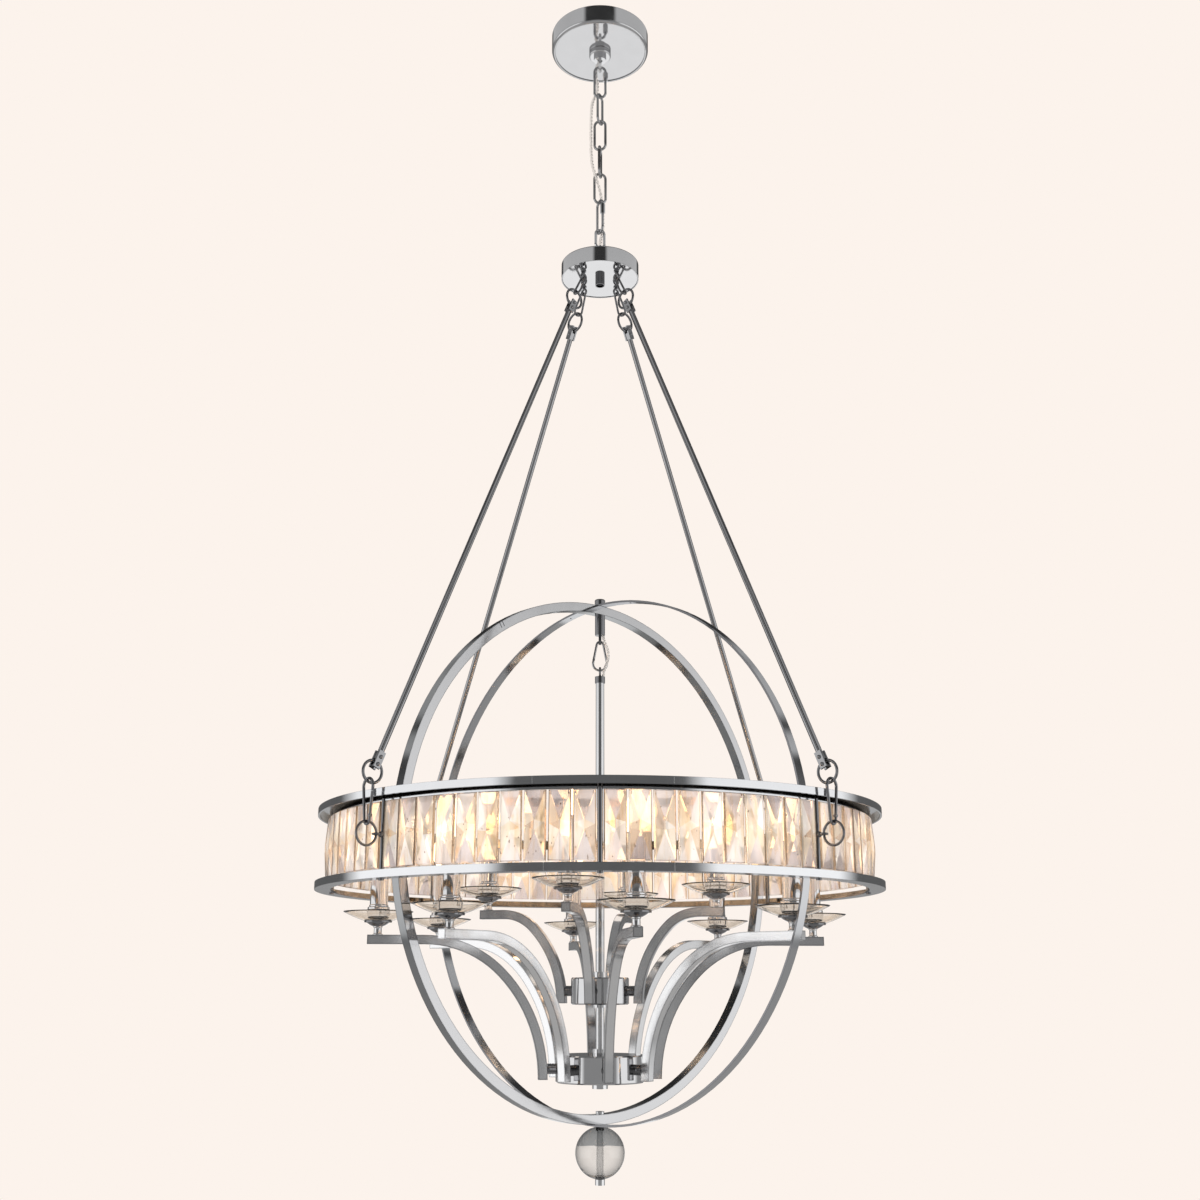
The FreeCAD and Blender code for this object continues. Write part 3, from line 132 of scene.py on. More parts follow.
def window(tree, value, level, up, down):
    """A level that comes up over one range of a value and goes down over another."""
    rising = ranged(tree, value, 0.0, level, *up)
    falling = ranged(tree, value, level, 0.0, *down)
    return math_node(tree, "MINIMUM", rising, falling)


def two_tone(tree, value, low, high):
    """A colour between two by a value."""
    node = tree.nodes.new("ShaderNodeMix")
    node.data_type = "RGBA"
    node.inputs["A"].default_value = (*low, 1)
    node.inputs["B"].default_value = (*high, 1)
    tree.links.new(value, node.inputs["Factor"])
    return node.outputs["Result"]


def towards(tree, share, colour, other, blend="MIX"):
    """Takes a colour's socket towards a fixed colour by a share, or multiplies it in."""
    node = tree.nodes.new("ShaderNodeMix")
    node.data_type = "RGBA"
    node.blend_type = blend
    node.inputs["B"].default_value = (*other, 1)
    tree.links.new(share, node.inputs["Factor"])
    tree.links.new(colour, node.inputs["A"])
    return node.outputs["Result"]


def mix_shaders(tree, share, first, second):
    """The first shader where a share is 0 and the second where it is 1."""
    node = tree.nodes.new("ShaderNodeMixShader")
    for place, source in enumerate((share, first, second)):
        tree.links.new(source, node.inputs[place])
    return node.outputs[0]


def bump(tree, shader, height, depth, strength=0.6):
    """Feeds a height to the shader's normal."""
    node = tree.nodes.new("ShaderNodeBump")
    node.inputs["Strength"].default_value = strength
    node.inputs["Distance"].default_value = depth
    tree.links.new(height, node.inputs["Height"])
    tree.links.new(node.outputs["Normal"], shader.inputs["Normal"])


def seen_directly(tree, rays):
    """1 for what the camera sees, also through glass."""
    return math_node(
        tree, "MAXIMUM", rays.outputs["Is Camera Ray"], rays.outputs["Is Transmission Ray"]
    )


# Camera

CAMERA_PLACE = (0, -2.430, -1.878)
CAMERA_PITCH = 105.6
CAMERA_LENS = 41.55
SENSOR_WIDTH = 36
VIEW_DEPTH = 60


def make_camera():
    """The photograph's viewpoint: just below the ring's height, pitched up."""
    data = bpy.data.cameras.new("view_camera")
    data.sensor_width = SENSOR_WIDTH
    data.lens = CAMERA_LENS
    data.clip_end = VIEW_DEPTH
    camera = bpy.data.objects.new("view_camera", data)
    camera.location = CAMERA_PLACE
    camera.rotation_euler = (math.radians(CAMERA_PITCH), 0, 0)
    bpy.context.scene.collection.objects.link(camera)
    bpy.context.scene.camera = camera


# World and lamps

# Metal mirrors a studio of its own. A direction has a height, its z from -1 to 1, and a bearing in
# degrees, from 0 on the camera's side to 180 behind the fitting. Panels stand at both sides,
# between a near and a far bearing, which change with the height.
NEAR_BEARING, NEAR_PER_HEIGHT, NEAR_FADE = 40.0, -52.0, 9.0
FAR_BEARING, FAR_PER_HEIGHT, FAR_FADE = 100.0, 77.0, 14.0

# What the camera's side hides of the panels at the heights that the canopy mirrors.
CORE_BEARING, CORE_UP, CORE_DOWN = 32.0, (0.56, 0.60), (0.65, 0.69)

# Fades: the value before and after, and where it starts and ends to change.
HIGH_FAR_BEARING = (170.0, 62.0, 0.61, 0.72)
LOW_DIMMING = (1.0, 0.60, 0.08, 0.30)
HIGH_DIMMING = (1.0, 0.80, 0.45, 0.50)
REAR_BEARING = (0.0, 1.0, 158.0, 172.0)
REAR_HEIGHT = (0.86, 0.0, -0.18, -0.06)
GAP_LEVEL = (0.36, 0.11, -0.02, 0.05)
HIGH_GAP_LEVEL = (0.30, 0.04, 0.12, 0.42)
CEILING_LEVEL = (0.0, 0.2, 0.72, 0.9)

# Dark bands across the panels: their heights, the depth of the shade and half its soft edge.
DARK_BANDS = ((-0.70, -0.36), (0.29, 0.45), (0.53, 0.57), (0.80, 1.05))
BAND_SHADE = 0.94
BAND_SOFT = 0.015
PANEL_LEVEL = 1.05

SOFT_LIGHT = (1.0, 0.985, 0.965)
SOFT_STRENGTH = 0.75
LAMP_COLOUR = (1.0, 0.98, 0.95)
LAMP_AIM = (0, 0, -1.5)


def soft_step(tree, value, start, fade):
    """0 below a start and 1 once a fade has passed."""
    return ranged(tree, value, 0.0, 1.0, start, math_node(tree, "ADD", start, fade))


def without(tree, level, shade):
    """A level with a share of it taken away."""
    return math_node(tree, "MULTIPLY", level, math_node(tree, "SUBTRACT", 1.0, shade))


def studio_level(tree, x, y, z):
    """The brightness that metal mirrors in a direction."""
    across = math_node(tree, "ABSOLUTE", x)
    forward = math_node(tree, "MULTIPLY", y, -1.0)
    angle = math_node(tree, "ARCTAN2", across, forward)
    bearing = math_node(tree, "MULTIPLY", angle, 180 / math.pi)
    height = math_node(tree, "MAXIMUM", z, 0.0)

    near = math_node(tree, "MULTIPLY_ADD", height, NEAR_PER_HEIGHT, NEAR_BEARING)
    core = window(tree, z, CORE_BEARING, CORE_UP, CORE_DOWN)
    near = math_node(tree, "MAXIMUM", near, core)
    far = math_node(tree, "MULTIPLY_ADD", height, FAR_PER_HEIGHT, FAR_BEARING)
    far = math_node(tree, "MINIMUM", far, ranged(tree, z, *HIGH_FAR_BEARING))
    panel = soft_step(tree, bearing, near, NEAR_FADE)
    panel = without(tree, panel, soft_step(tree, bearing, far, FAR_FADE))
    for dimming in (LOW_DIMMING, HIGH_DIMMING):
        panel = math_node(tree, "MULTIPLY", panel, ranged(tree, z, *dimming))
    for low, high in DARK_BANDS:
        up = (low - BAND_SOFT, low + BAND_SOFT)
        down = (high - BAND_SOFT, high + BAND_SOFT)
        panel = without(tree, panel, window(tree, z, BAND_SHADE, up, down))

    rear = ranged(tree, bearing, *REAR_BEARING)
    rear = math_node(tree, "MULTIPLY", rear, ranged(tree, z, *REAR_HEIGHT))
    level = math_node(tree, "MAXIMUM", panel, rear)
    gaps = math_node(
        tree, "MINIMUM", ranged(tree, z, *GAP_LEVEL), ranged(tree, z, *HIGH_GAP_LEVEL)
    )
    level = ranged(tree, level, gaps, PANEL_LEVEL, 0.0, 1.0)
    return math_node(tree, "MAXIMUM", level, ranged(tree, z, *CEILING_LEVEL))


def make_world():
    """Pale to the eye; metal sees soft panels at both sides with dark gaps between them."""
    world = bpy.data.worlds.new("studio")
    bpy.context.scene.world = world
    world.use_nodes = True
    tree = world.node_tree
    tree.nodes.clear()
    place = tree.nodes.new("ShaderNodeTexCoord")
    split = tree.nodes.new("ShaderNodeSeparateXYZ")
    tree.links.new(place.outputs["Generated"], split.inputs[0])
    level = studio_level(tree, *(split.outputs[name] for name in ("X", "Y", "Z")))
    grey = tree.nodes.new("ShaderNodeCombineColor")
    for channel in ("Red", "Green", "Blue"):
        tree.links.new(level, grey.inputs[channel])
    metal = add(tree, "ShaderNodeBackground")
    tree.links.new(grey.outputs["Color"], metal.inputs["Color"])
    pale = add(tree, "ShaderNodeBackground", Color=(*PALE, 1), Strength=1.0)
    soft = add(tree, "ShaderNodeBackground", Color=(*SOFT_LIGHT, 1), Strength=SOFT_STRENGTH)
    rays = tree.nodes.new("ShaderNodeLightPath")
    mirrored = mix_shaders(
        tree, rays.outputs["Is Glossy Ray"], soft.outputs[0], metal.outputs[0]
    )
    final = mix_shaders(tree, seen_directly(tree, rays), mirrored, pale.outputs[0])
    output = tree.nodes.new("ShaderNodeOutputWorld")
    tree.links.new(final, output.inputs["Surface"])
    world.cycles.sampling_method = "MANUAL"
    world.cycles.sample_map_resolution = 256


def make_lamps():
    """Two large soft lamps from the front and one from above."""
    for name, place, size, power in (
        ("soft_left", (-2.6, -2.2, -0.6), 1.6, 26),
        ("soft_right", (2.6, -2.2, -0.9), 1.6, 26),
        ("soft_top", (0.0, -0.6, 1.4), 2.0, 20),
    ):
        data = bpy.data.lights.new(name, "AREA")
        data.size = size
        data.energy = power
        data.color = LAMP_COLOUR
        lamp = bpy.data.objects.new(name, data)
        lamp.location = place
        aim = Vector(LAMP_AIM) - Vector(place)
        lamp.rotation_euler = aim.to_track_quat("-Z", "Y").to_euler()
        lamp.visible_glossy = False
        lamp.visible_transmission = False
        bpy.context.scene.collection.objects.link(lamp)


# Floor

FLOOR_RADIUS = 2.9
FLOOR_HEIGHT = -3.0
FLOOR_SIDES = 128
FLOOR_TINTS = ((0.955, 0.878, 0.822), (0.985, 0.906, 0.848))
FLOOR_MIRRORED = (0.38, 0.375, 0.37)
FLOOR_GLOW_SHARE = 0.75


def make_floor():
    """A pale round floor below the fitting; it shines to the eye and is grey in mirrors."""
    work = bmesh.new()
    bmesh.ops.create_circle(work, cap_ends=True, segments=FLOOR_SIDES, radius=FLOOR_RADIUS)
    mesh = bpy.data.meshes.new("pale_floor")
    work.to_mesh(mesh)
    work.free()
    floor = bpy.data.objects.new("pale_floor", mesh)
    floor.location = (0, 0, FLOOR_HEIGHT)
    bpy.context.scene.collection.objects.link(floor)
    material, tree, shader = new_material("pale_floor")
    grain = noise(tree, scale=60, detail=4)
    tree.links.new(two_tone(tree, grain, *FLOOR_TINTS), shader.inputs["Base Color"])
    shader.inputs["Roughness"].default_value = 0.7
    bump(tree, shader, grain, depth=0.0004)
    glow = add(tree, "ShaderNodeEmission", Color=(*PALE, 1), Strength=1.0)
    shade = add(tree, "ShaderNodeEmission", Color=(*FLOOR_MIRRORED, 1), Strength=1.0)
    rays = tree.nodes.new("ShaderNodeLightPath")
    share = math_node(tree, "MULTIPLY", seen_directly(tree, rays), FLOOR_GLOW_SHARE)
    plain = mix_shaders(tree, share, shader.outputs[0], glow.outputs[0])
    final = mix_shaders(tree, rays.outputs["Is Glossy Ray"], plain, shade.outputs[0])
    tree.links.new(final, tree.nodes["Material Output"].inputs["Surface"])
    mesh.materials.append(material)


# Materials

# Plate: how much darker haze is, the roughness that polish marks add, and the painted shade lines
# at edges.
PLATE_TINT = (0.80, 0.80, 0.81)
HAZE_SHADE = 0.92
MARK_ROUGHNESS = 0.03
EDGE_SHADE_TINT = (0.06, 0.06, 0.065)
EDGE_SHADE = 0.85

# Glass: how much darker and rougher its ripples are, and where it turns to its edge's tint, a
# painted shade at its outline.
RIPPLE_SHADE = 0.96
RIPPLE_ROUGHER = 2.2
RIM_FACING = (0.12, 0.75)

# Where the shares of painted shade, highlight and reflection change: cosines with an axis and
# across an edge, and, for faces that look at the fitting's axis, the product of their direction
# with their place in metres.
AXIS_COSINES = (0.3, 0.7)
EDGE_COSINES = (0.85, 0.995)
INWARD_PRODUCTS = (-0.3, -0.1)

# Noise values between which the painted amber light fades out and specks come up, and the painted
# glow that facets keep.
PAINTED_AMBER_LIGHT = (0.93, 0.74, 0.50)
AMBER_SHARE = 0.7
AMBER_NOISE = (0.34, 0.48)
SPECK_TINT = (0.16, 0.10, 0.07)
SPECK_NOISE = (0.735, 0.76)
CRYSTAL_PAINTED_GLOW = (0.04, 0.26)
CRYSTAL_GLOW_NOISE = (0.4, 0.7)
CRYSTAL_ROUGH = (0.02, 0.07)

HOLDER_TINTS = ((0.80, 0.77, 0.72), (0.88, 0.86, 0.82))
HOLDER_ROUGH = (0.38, 0.52)
BULB_TINTS = ((1.0, 0.80, 0.52), (1.0, 0.86, 0.62))
GLOW_TINTS = ((1.0, 0.66, 0.41), (1.0, 0.74, 0.51))
GLOW_STRENGTHS = (1.35, 1.9)


def painted_facing_share(tree, axis):
    """How squarely a surface of the object faces along an axis, from 0 to 1: the mask of painted
    shade or highlight by facing.
    """
    place = tree.nodes.new("ShaderNodeTexCoord")
    cosine = dot_product(tree, place.outputs["Normal"], axis)
    return ranged(tree, math_node(tree, "ABSOLUTE", cosine), 0.0, 1.0, *AXIS_COSINES)


def inward_reflection_share(tree):
    """1 where a surface of the object looks at the fitting's axis, and otherwise 0: the mask of a
    painted reflection.
    """
    place = tree.nodes.new("ShaderNodeTexCoord")
    level = tree.nodes.new("ShaderNodeVectorMath")
    level.operation = "MULTIPLY"
    level.inputs[1].default_value = (1, 1, 0)
    tree.links.new(place.outputs["Object"], level.inputs[0])
    product = dot_product(tree, place.outputs["Normal"], level.outputs["Vector"])
    return ranged(tree, product, 1.0, 0.0, *INWARD_PRODUCTS)


def edge_shade_share(tree, radius):
    """1 along the sharp edges of an object, and otherwise 0: the mask of painted shade lines."""
    soft = add(tree, "ShaderNodeBevel", samples=6, Radius=radius)
    plain = tree.nodes.new("ShaderNodeNewGeometry")
    cosine = dot_product(tree, soft.outputs["Normal"], plain.outputs["Normal"])
    return ranged(tree, cosine, 1.0, 0.0, *EDGE_COSINES)


def chrome(name, tint=PLATE_TINT, rough=(0.03, 0.075), mark_scale=900,
           axis=None, second=None, inner=None, edge=None):
    """Polished plate: fine polish marks, faint haze and a slight waviness.

    Faces that look along the axis can take a second tint, painted shade or highlight by facing,
    and inner faces a third, a painted reflection of the crystals and bulbs.
    An edge gives the width of a dark line of painted shade along the sharp edges, where the plate
    turns away.
    """
    material, tree, shader = new_material(name)
    haze = noise(tree, scale=34, detail=4)
    marks = noise(tree, mark_scale, detail=2, roughness=0.7)
    colour = two_tone(tree, haze, tuple(channel * HAZE_SHADE for channel in tint), tint)
    # Faces along the axis take the second tint: painted shade or highlight by facing.
    if axis is not None:
        colour = towards(tree, painted_facing_share(tree, axis), colour, second)
    # Inner faces take a warm tint: a painted reflection of the crystals and bulbs.
    if inner is not None:
        colour = towards(tree, inward_reflection_share(tree), colour, inner)
    # Dark lines along sharp edges: painted shade, in place of the dark reflections of rounded
    # edges.
    if edge is not None:
        share = math_node(tree, "MULTIPLY", edge_shade_share(tree, edge), EDGE_SHADE)
        colour = towards(tree, share, colour, EDGE_SHADE_TINT)
    tree.links.new(colour, shader.inputs["Base Color"])
    shader.inputs["Metallic"].default_value = 1.0
    spread = ranged(tree, haze, *rough)
    fine = ranged(tree, marks, 0.0, MARK_ROUGHNESS)
    tree.links.new(math_node(tree, "ADD", spread, fine), shader.inputs["Roughness"])
    bump(tree, shader, noise(tree, scale=22, detail=2), depth=0.00012, strength=0.35)
    return material


def clear_glass(name, tint, rough, haze_scale=40, ior=1.46, edge=None):
    """Clear glass with faint ripples and a trace of haze; a painted shade can darken it towards
    its outline.
    """
    material, tree, shader = new_material(name)
    haze = noise(tree, haze_scale, detail=3)
    colour = two_tone(tree, haze, tuple(channel * RIPPLE_SHADE for channel in tint), tint)
    # The outline takes the edge's tint by facing: painted shade.
    if edge is not None:
        slant = add(tree, "ShaderNodeLayerWeight", Blend=0.5)
        share = ranged(tree, slant.outputs["Facing"], 0.0, 1.0, *RIM_FACING)
        colour = towards(tree, share, colour, edge)
    tree.links.new(colour, shader.inputs["Base Color"])
    spread = ranged(tree, haze, rough, rough * RIPPLE_ROUGHER)
    tree.links.new(spread, shader.inputs["Roughness"])
    shader.inputs["Transmission Weight"].default_value = 1.0
    shader.inputs["IOR"].default_value = ior
    bump(tree, shader, noise(tree, scale=30, detail=2), depth=0.0003, strength=0.25)
    return material


def cut_crystal():
    """Cut crystal: each facet has its own tint of painted light, with amber streaks of painted
    bulb light, small dark specks and a faint painted glow.
    """
    material, tree, shader = new_material("cut_crystal")
    tint = add(tree, "ShaderNodeAttribute", attribute_name="facet_painted_light")
    streak = noise(tree, scale=70, detail=4, stretch=(1, 1, 0.16), roughness=0.6)
    # Amber streaks: painted warm light of the bulbs.
    amber_light_mask = ranged(tree, streak, 1.0, 0.0, *AMBER_NOISE)
    share = math_node(tree, "MULTIPLY", amber_light_mask, AMBER_SHARE)
    colour = towards(tree, share, tint.outputs["Color"], PAINTED_AMBER_LIGHT, blend="MULTIPLY")
    speck = noise(tree, scale=260, detail=1, stretch=(1, 1, 0.55))
    colour = towards(tree, ranged(tree, speck, 0.0, 1.0, *SPECK_NOISE), colour, SPECK_TINT)
    tree.links.new(colour, shader.inputs["Base Color"])
    # Facets glow in their own tint: a painted glow, since crystal is no lamp.
    tree.links.new(colour, shader.inputs["Emission Color"])
    patches = noise(tree, scale=26, detail=2, stretch=(1, 1, 0.4))
    glow = ranged(tree, patches, *CRYSTAL_PAINTED_GLOW, *CRYSTAL_GLOW_NOISE)
    tree.links.new(glow, shader.inputs["Emission Strength"])
    tree.links.new(ranged(tree, streak, *CRYSTAL_ROUGH), shader.inputs["Roughness"])
    shader.inputs["Transmission Weight"].default_value = 0.7
    shader.inputs["IOR"].default_value = 1.52
    return material


def lit_glass():
    """The glowing envelope of a lit candle bulb, slightly uneven in its glow."""
    material, tree, shader = new_material("lit_bulb")
    frost = noise(tree, scale=120, detail=3)
    tree.links.new(two_tone(tree, frost, *BULB_TINTS), shader.inputs["Base Color"])
    tree.links.new(two_tone(tree, frost, *GLOW_TINTS), shader.inputs["Emission Color"])
    tree.links.new(ranged(tree, frost, *GLOW_STRENGTHS), shader.inputs["Emission Strength"])
    shader.inputs["Roughness"].default_value = 0.12
    shader.inputs["Transmission Weight"].default_value = 0.4
    return material


def ceramic():
    """The lamp holders' moulded ceramic with a fine grain."""
    material, tree, shader = new_material("holder_ceramic")
    grain = noise(tree, scale=420, detail=3)
    tree.links.new(two_tone(tree, grain, *HOLDER_TINTS), shader.inputs["Base Color"])
    tree.links.new(ranged(tree, grain, *HOLDER_ROUGH), shader.inputs["Roughness"])
    bump(tree, shader, grain, depth=0.00005, strength=0.5)
    return material


def dress(material, *names):
    """Gives a material to CAD nodes."""
    for name in names:
        mesh = nodes[name].data
        mesh.materials.clear()
        mesh.materials.append(material)


# Mesh helpers

# What counts as lying on the axis of a turned profile, and how rounded() cuts its corners.
ON_AXIS = 1e-6
CORNER_SHARE = 0.4
ARC_SHARES = (0.0, 0.33, 0.67, 1.0)


def out_of(azimuth):
    """Unit vector from the axis towards an azimuth."""
    turn = math.radians(azimuth)
    return Vector((math.sin(turn), -math.cos(turn), 0))


def along(azimuth):
    """Unit vector sideways at an azimuth, towards growing azimuths."""
    turn = math.radians(azimuth)
    return Vector((math.cos(turn), math.sin(turn), 0))


def standing(azimuth, radius, height):
    """Placement of a local frame: X outwards, Y sideways, Z up; millimetres in, metres out."""
    out = out_of(azimuth)
    side = along(azimuth)
    place = out * radius
    rows = [
        (out.x, side.x, 0, place.x),
        (out.y, side.y, 0, place.y),
        (0, 0, 1, height),
        (0, 0, 0, 1),
    ]
    return Matrix.Scale(MM, 4) @ Matrix(rows)


def lathe_ring(work, radius, height, segments, placement):
    """The points of one ring of a turned shape, or the single one on its axis."""
    if radius < ON_AXIS:
        return [work.verts.new(placement @ Vector((0, 0, height)))]
    ring = []
    for step in range(segments):
        turn = FULL_TURN * step / segments
        spot = Vector((radius * math.cos(turn), radius * math.sin(turn), height))
        ring.append(work.verts.new(placement @ spot))
    return ring


def add_lathe(work, profile, segments, placement, closed=True):
    """Turns a list of radius and height about the local axis into quads."""
    rings = [lathe_ring(work, *point, segments, placement) for point in profile]
    pairs = list(zip(rings, rings[1:]))
    if closed:
        pairs.append((rings[-1], rings[0]))
    for low, high in pairs:
        if len(low) == 1 and len(high) == 1:
            continue
        for step in range(segments):
            after = (step + 1) % segments
            if len(low) == 1:
                corners = (low[0], high[after], high[step])
            elif len(high) == 1:
                corners = (low[step], low[after], high[0])
            else:
                corners = (low[step], low[after], high[after], high[step])
            work.faces.new(corners).smooth = True


def rounded(profile, cut):
    """Rounds a closed outline's corners with short arcs."""
    points = [Vector(point) for point in profile]
    shape = []
    for place, corner in enumerate(points):
        before = points[place - 1] - corner
        after = points[(place + 1) % len(points)] - corner
        trim = min(cut, before.length * CORNER_SHARE, after.length * CORNER_SHARE)
        start = corner + before.normalized() * trim
        end = corner + after.normalized() * trim
        for share in ARC_SHARES:
            first = start.lerp(corner, share)
            second = corner.lerp(end, share)
            shape.append(tuple(first.lerp(second, share)))
    return shape


def finish_piece(work, name, materials, sharp=None):
    """Makes an object of a working mesh, with edges sharper than an angle kept sharp."""
    bmesh.ops.recalc_face_normals(work, faces=work.faces)
    mesh = bpy.data.meshes.new(name)
    work.to_mesh(mesh)
    work.free()
    for material in materials:
        mesh.materials.append(material)
    if sharp is not None:
        mesh.set_sharp_from_angle(angle=math.radians(sharp))
    piece = bpy.data.objects.new(name, mesh)
    bpy.context.scene.collection.objects.link(piece)
    return piece


# Crystals

CRYSTAL_TOP = -1607.3
CRYSTAL_LONG = 100.0
CRYSTAL_HALF = 16.2
CRYSTAL_PITCH = 4.4
CRYSTALS_PER_BAY = 10
BAYS = 8
BAY_ANGLE = 360 / BAYS
RING_CIRCLE = 462.0

# How far the girdle, the table, the waist and the apex of a side stand out from the middle.
GIRDLE_OUT = 1.1
TABLE_OUT = 2.6
WAIST_OUT = 3.1
APEX_OUT = 6.4
APEX_SHARE = 0.43
BEVEL_WIDE = 1.5
BEVEL_TALL = 1.3
RIDGE_WIDTH = 0.001

# How much the hand-cut and hand-hung crystals vary: millimetres, then degrees.
APEX_STRAY = 0.5
WAIST_STRAY = 6
SWING_STRAY = 2.2
LEAN_STRAY = 0.35
STRAY_SEED = 11

PIN_SIDE = 12.6
PIN_SEGMENTS = 8
PIN_PROFILE = ((0, 43), (1.0, 43), (1.0, 47), (0.7, 48), (0.7, 52.5), (0, 52.5))

# The crystals' tints are painted light: white ones painted highlights, warm ones painted light of
# the bulbs, dark ones painted shade.
FACET_PAINTED_LIGHT = (
    (0.95, 0.87, 0.83),
    (0.84, 0.75, 0.72),
    (1.0, 0.96, 0.92),
    (0.66, 0.60, 0.60),
)
FLANK_PAINTED_LIGHT = (
    (0.99, 0.88, 0.72),
    (0.97, 0.82, 0.64),
    (1.0, 0.98, 0.95),
    (0.74, 0.58, 0.44),
    (0.86, 0.79, 0.75),
    (1.0, 0.94, 0.86),
)
BEVEL_PAINTED_LIGHT = (
    (0.34, 0.23, 0.15),
    (0.62, 0.45, 0.30),
    (0.93, 0.87, 0.78),
    (0.18, 0.13, 0.10),
)
RIDGE_PAINTED_LIGHT = (
    (0.16, 0.11, 0.08),
    (0.40, 0.29, 0.21),
    (1.0, 0.97, 0.93),
    (0.99, 0.92, 0.82),
    (0.72, 0.62, 0.55),
)
GIRDLE_PAINTED_LIGHT = (0.80, 0.64, 0.46)


def border(corners):
    """The four neighbouring pairs of a list of four corners."""
    return list(zip(corners, corners[1:] + corners[:1]))


def add_crystal(work, facet_light_layer, placement, chance):
    """One crystal: on each side two end facets and two flanks of three, in a bevelled border."""
    half = CRYSTAL_LONG / 2
    apex = CRYSTAL_LONG * APEX_SHARE
    back = placement.inverted()

    def point(out, side, height):
        return work.verts.new(placement @ Vector((out, side, height)))

    def outline(out, reach_y, reach_z):
        corners = ((-reach_y, 1), (reach_y, 1), (reach_y, -1), (-reach_y, -1))
        return [point(out, y, reach_z * up) for y, up in corners]

    def face(corners, colour):
        made = work.faces.new(corners)
        for corner in made.loops:
            corner[facet_light_layer] = (*colour, 1)
        return made

    girdles = []
    facets = []
    for side in (1, -1):
        girdle = outline(side * GIRDLE_OUT, CRYSTAL_HALF, half)
        table = outline(side * TABLE_OUT, CRYSTAL_HALF - BEVEL_WIDE, half - BEVEL_TALL)
        high = point(side * APEX_OUT, chance.uniform(-APEX_STRAY, APEX_STRAY), half - apex)
        low = point(side * APEX_OUT, chance.uniform(-APEX_STRAY, APEX_STRAY), apex - half)
        facets.append(face((table[0], table[1], high), chance.choice(FACET_PAINTED_LIGHT)))
        facets.append(face((table[2], table[3], low), chance.choice(FACET_PAINTED_LIGHT)))
        for top, bottom in ((table[1], table[2]), (table[0], table[3])):
            edge = math.copysign(CRYSTAL_HALF - BEVEL_WIDE, (back @ top.co).y)
            waist = point(side * WAIST_OUT, edge, chance.uniform(-WAIST_STRAY, WAIST_STRAY))
            for corners in ((top, waist, high), (waist, low, high), (waist, bottom, low)):
                facets.append(face(corners, chance.choice(FLANK_PAINTED_LIGHT)))
        sides = zip(border(girdle), border(table), (FACET_PAINTED_LIGHT, BEVEL_PAINTED_LIGHT) * 2)
        for (outer, outer_next), (inner, inner_next), choices in sides:
            face((outer, outer_next, inner_next, inner), chance.choice(choices))
        girdles.append(girdle)
    for (front, front_next), (rear, rear_next) in zip(*map(border, girdles)):
        face((front, front_next, rear_next, rear), GIRDLE_PAINTED_LIGHT)
    # Thin ridges round each facet: painted highlight and painted shade lines.
    inset = bmesh.ops.inset_individual(work, faces=facets, thickness=RIDGE_WIDTH)
    for ridge in inset["faces"]:
        tint = chance.choice(RIDGE_PAINTED_LIGHT)
        for corner in ridge.loops:
            corner[facet_light_layer] = (*tint, 1)


def make_crystals():
    """Eighty crystals that hang in eight bays, each on two small pins."""
    chance = random.Random(STRAY_SEED)
    work = bmesh.new()
    facet_light_layer = work.loops.layers.float_color.new("facet_painted_light")
    pins = bmesh.new()
    first = (BAY_ANGLE - (CRYSTALS_PER_BAY - 1) * CRYSTAL_PITCH) / 2
    middle = CRYSTAL_TOP - CRYSTAL_LONG / 2
    for bay in range(BAYS):
        for place in range(CRYSTALS_PER_BAY):
            base = standing(bay * BAY_ANGLE + first + place * CRYSTAL_PITCH, RING_CIRCLE, middle)
            swing = math.radians(chance.uniform(-SWING_STRAY, SWING_STRAY))
            lean = math.radians(chance.uniform(-LEAN_STRAY, LEAN_STRAY))
            base_swung = base @ Matrix.Rotation(swing, 4, "Z")
            add_crystal(work, facet_light_layer, base_swung @ Matrix.Rotation(lean, 4, "X"), chance)
            for side in (-PIN_SIDE, PIN_SIDE):
                spot = base_swung @ Matrix.Translation((0, side, 0))
                add_lathe(pins, PIN_PROFILE, PIN_SEGMENTS, spot, closed=False)
    bmesh.ops.recalc_face_normals(work, faces=work.faces)
    crystals = finish_piece(work, "cut_crystals", [cut_crystal()])
    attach(crystals, "ring_frame")
    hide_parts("crystals")
    hooks = finish_piece(pins, "crystal_pins", [chrome("pin_plate", (0.86, 0.80, 0.72))])
    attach(hooks, "ring_frame")


# Candles

def arm_ends(first, count, radius, height):
    """Azimuth, radius and height of the places that the posts of a ring of arms stand on."""
    return [(first + 360 / count * place, radius, height) for place in range(count)]


LOWER_ARMS = arm_ends(first=8, count=8, radius=375.0, height=-1794.5)
UPPER_ARMS = arm_ends(first=-14.5, count=4, radius=202.0, height=-1749.5)
CANDLES = LOWER_ARMS + UPPER_ARMS

CANDLE_SEGMENTS = 48
CANDLE_SHARP = 28

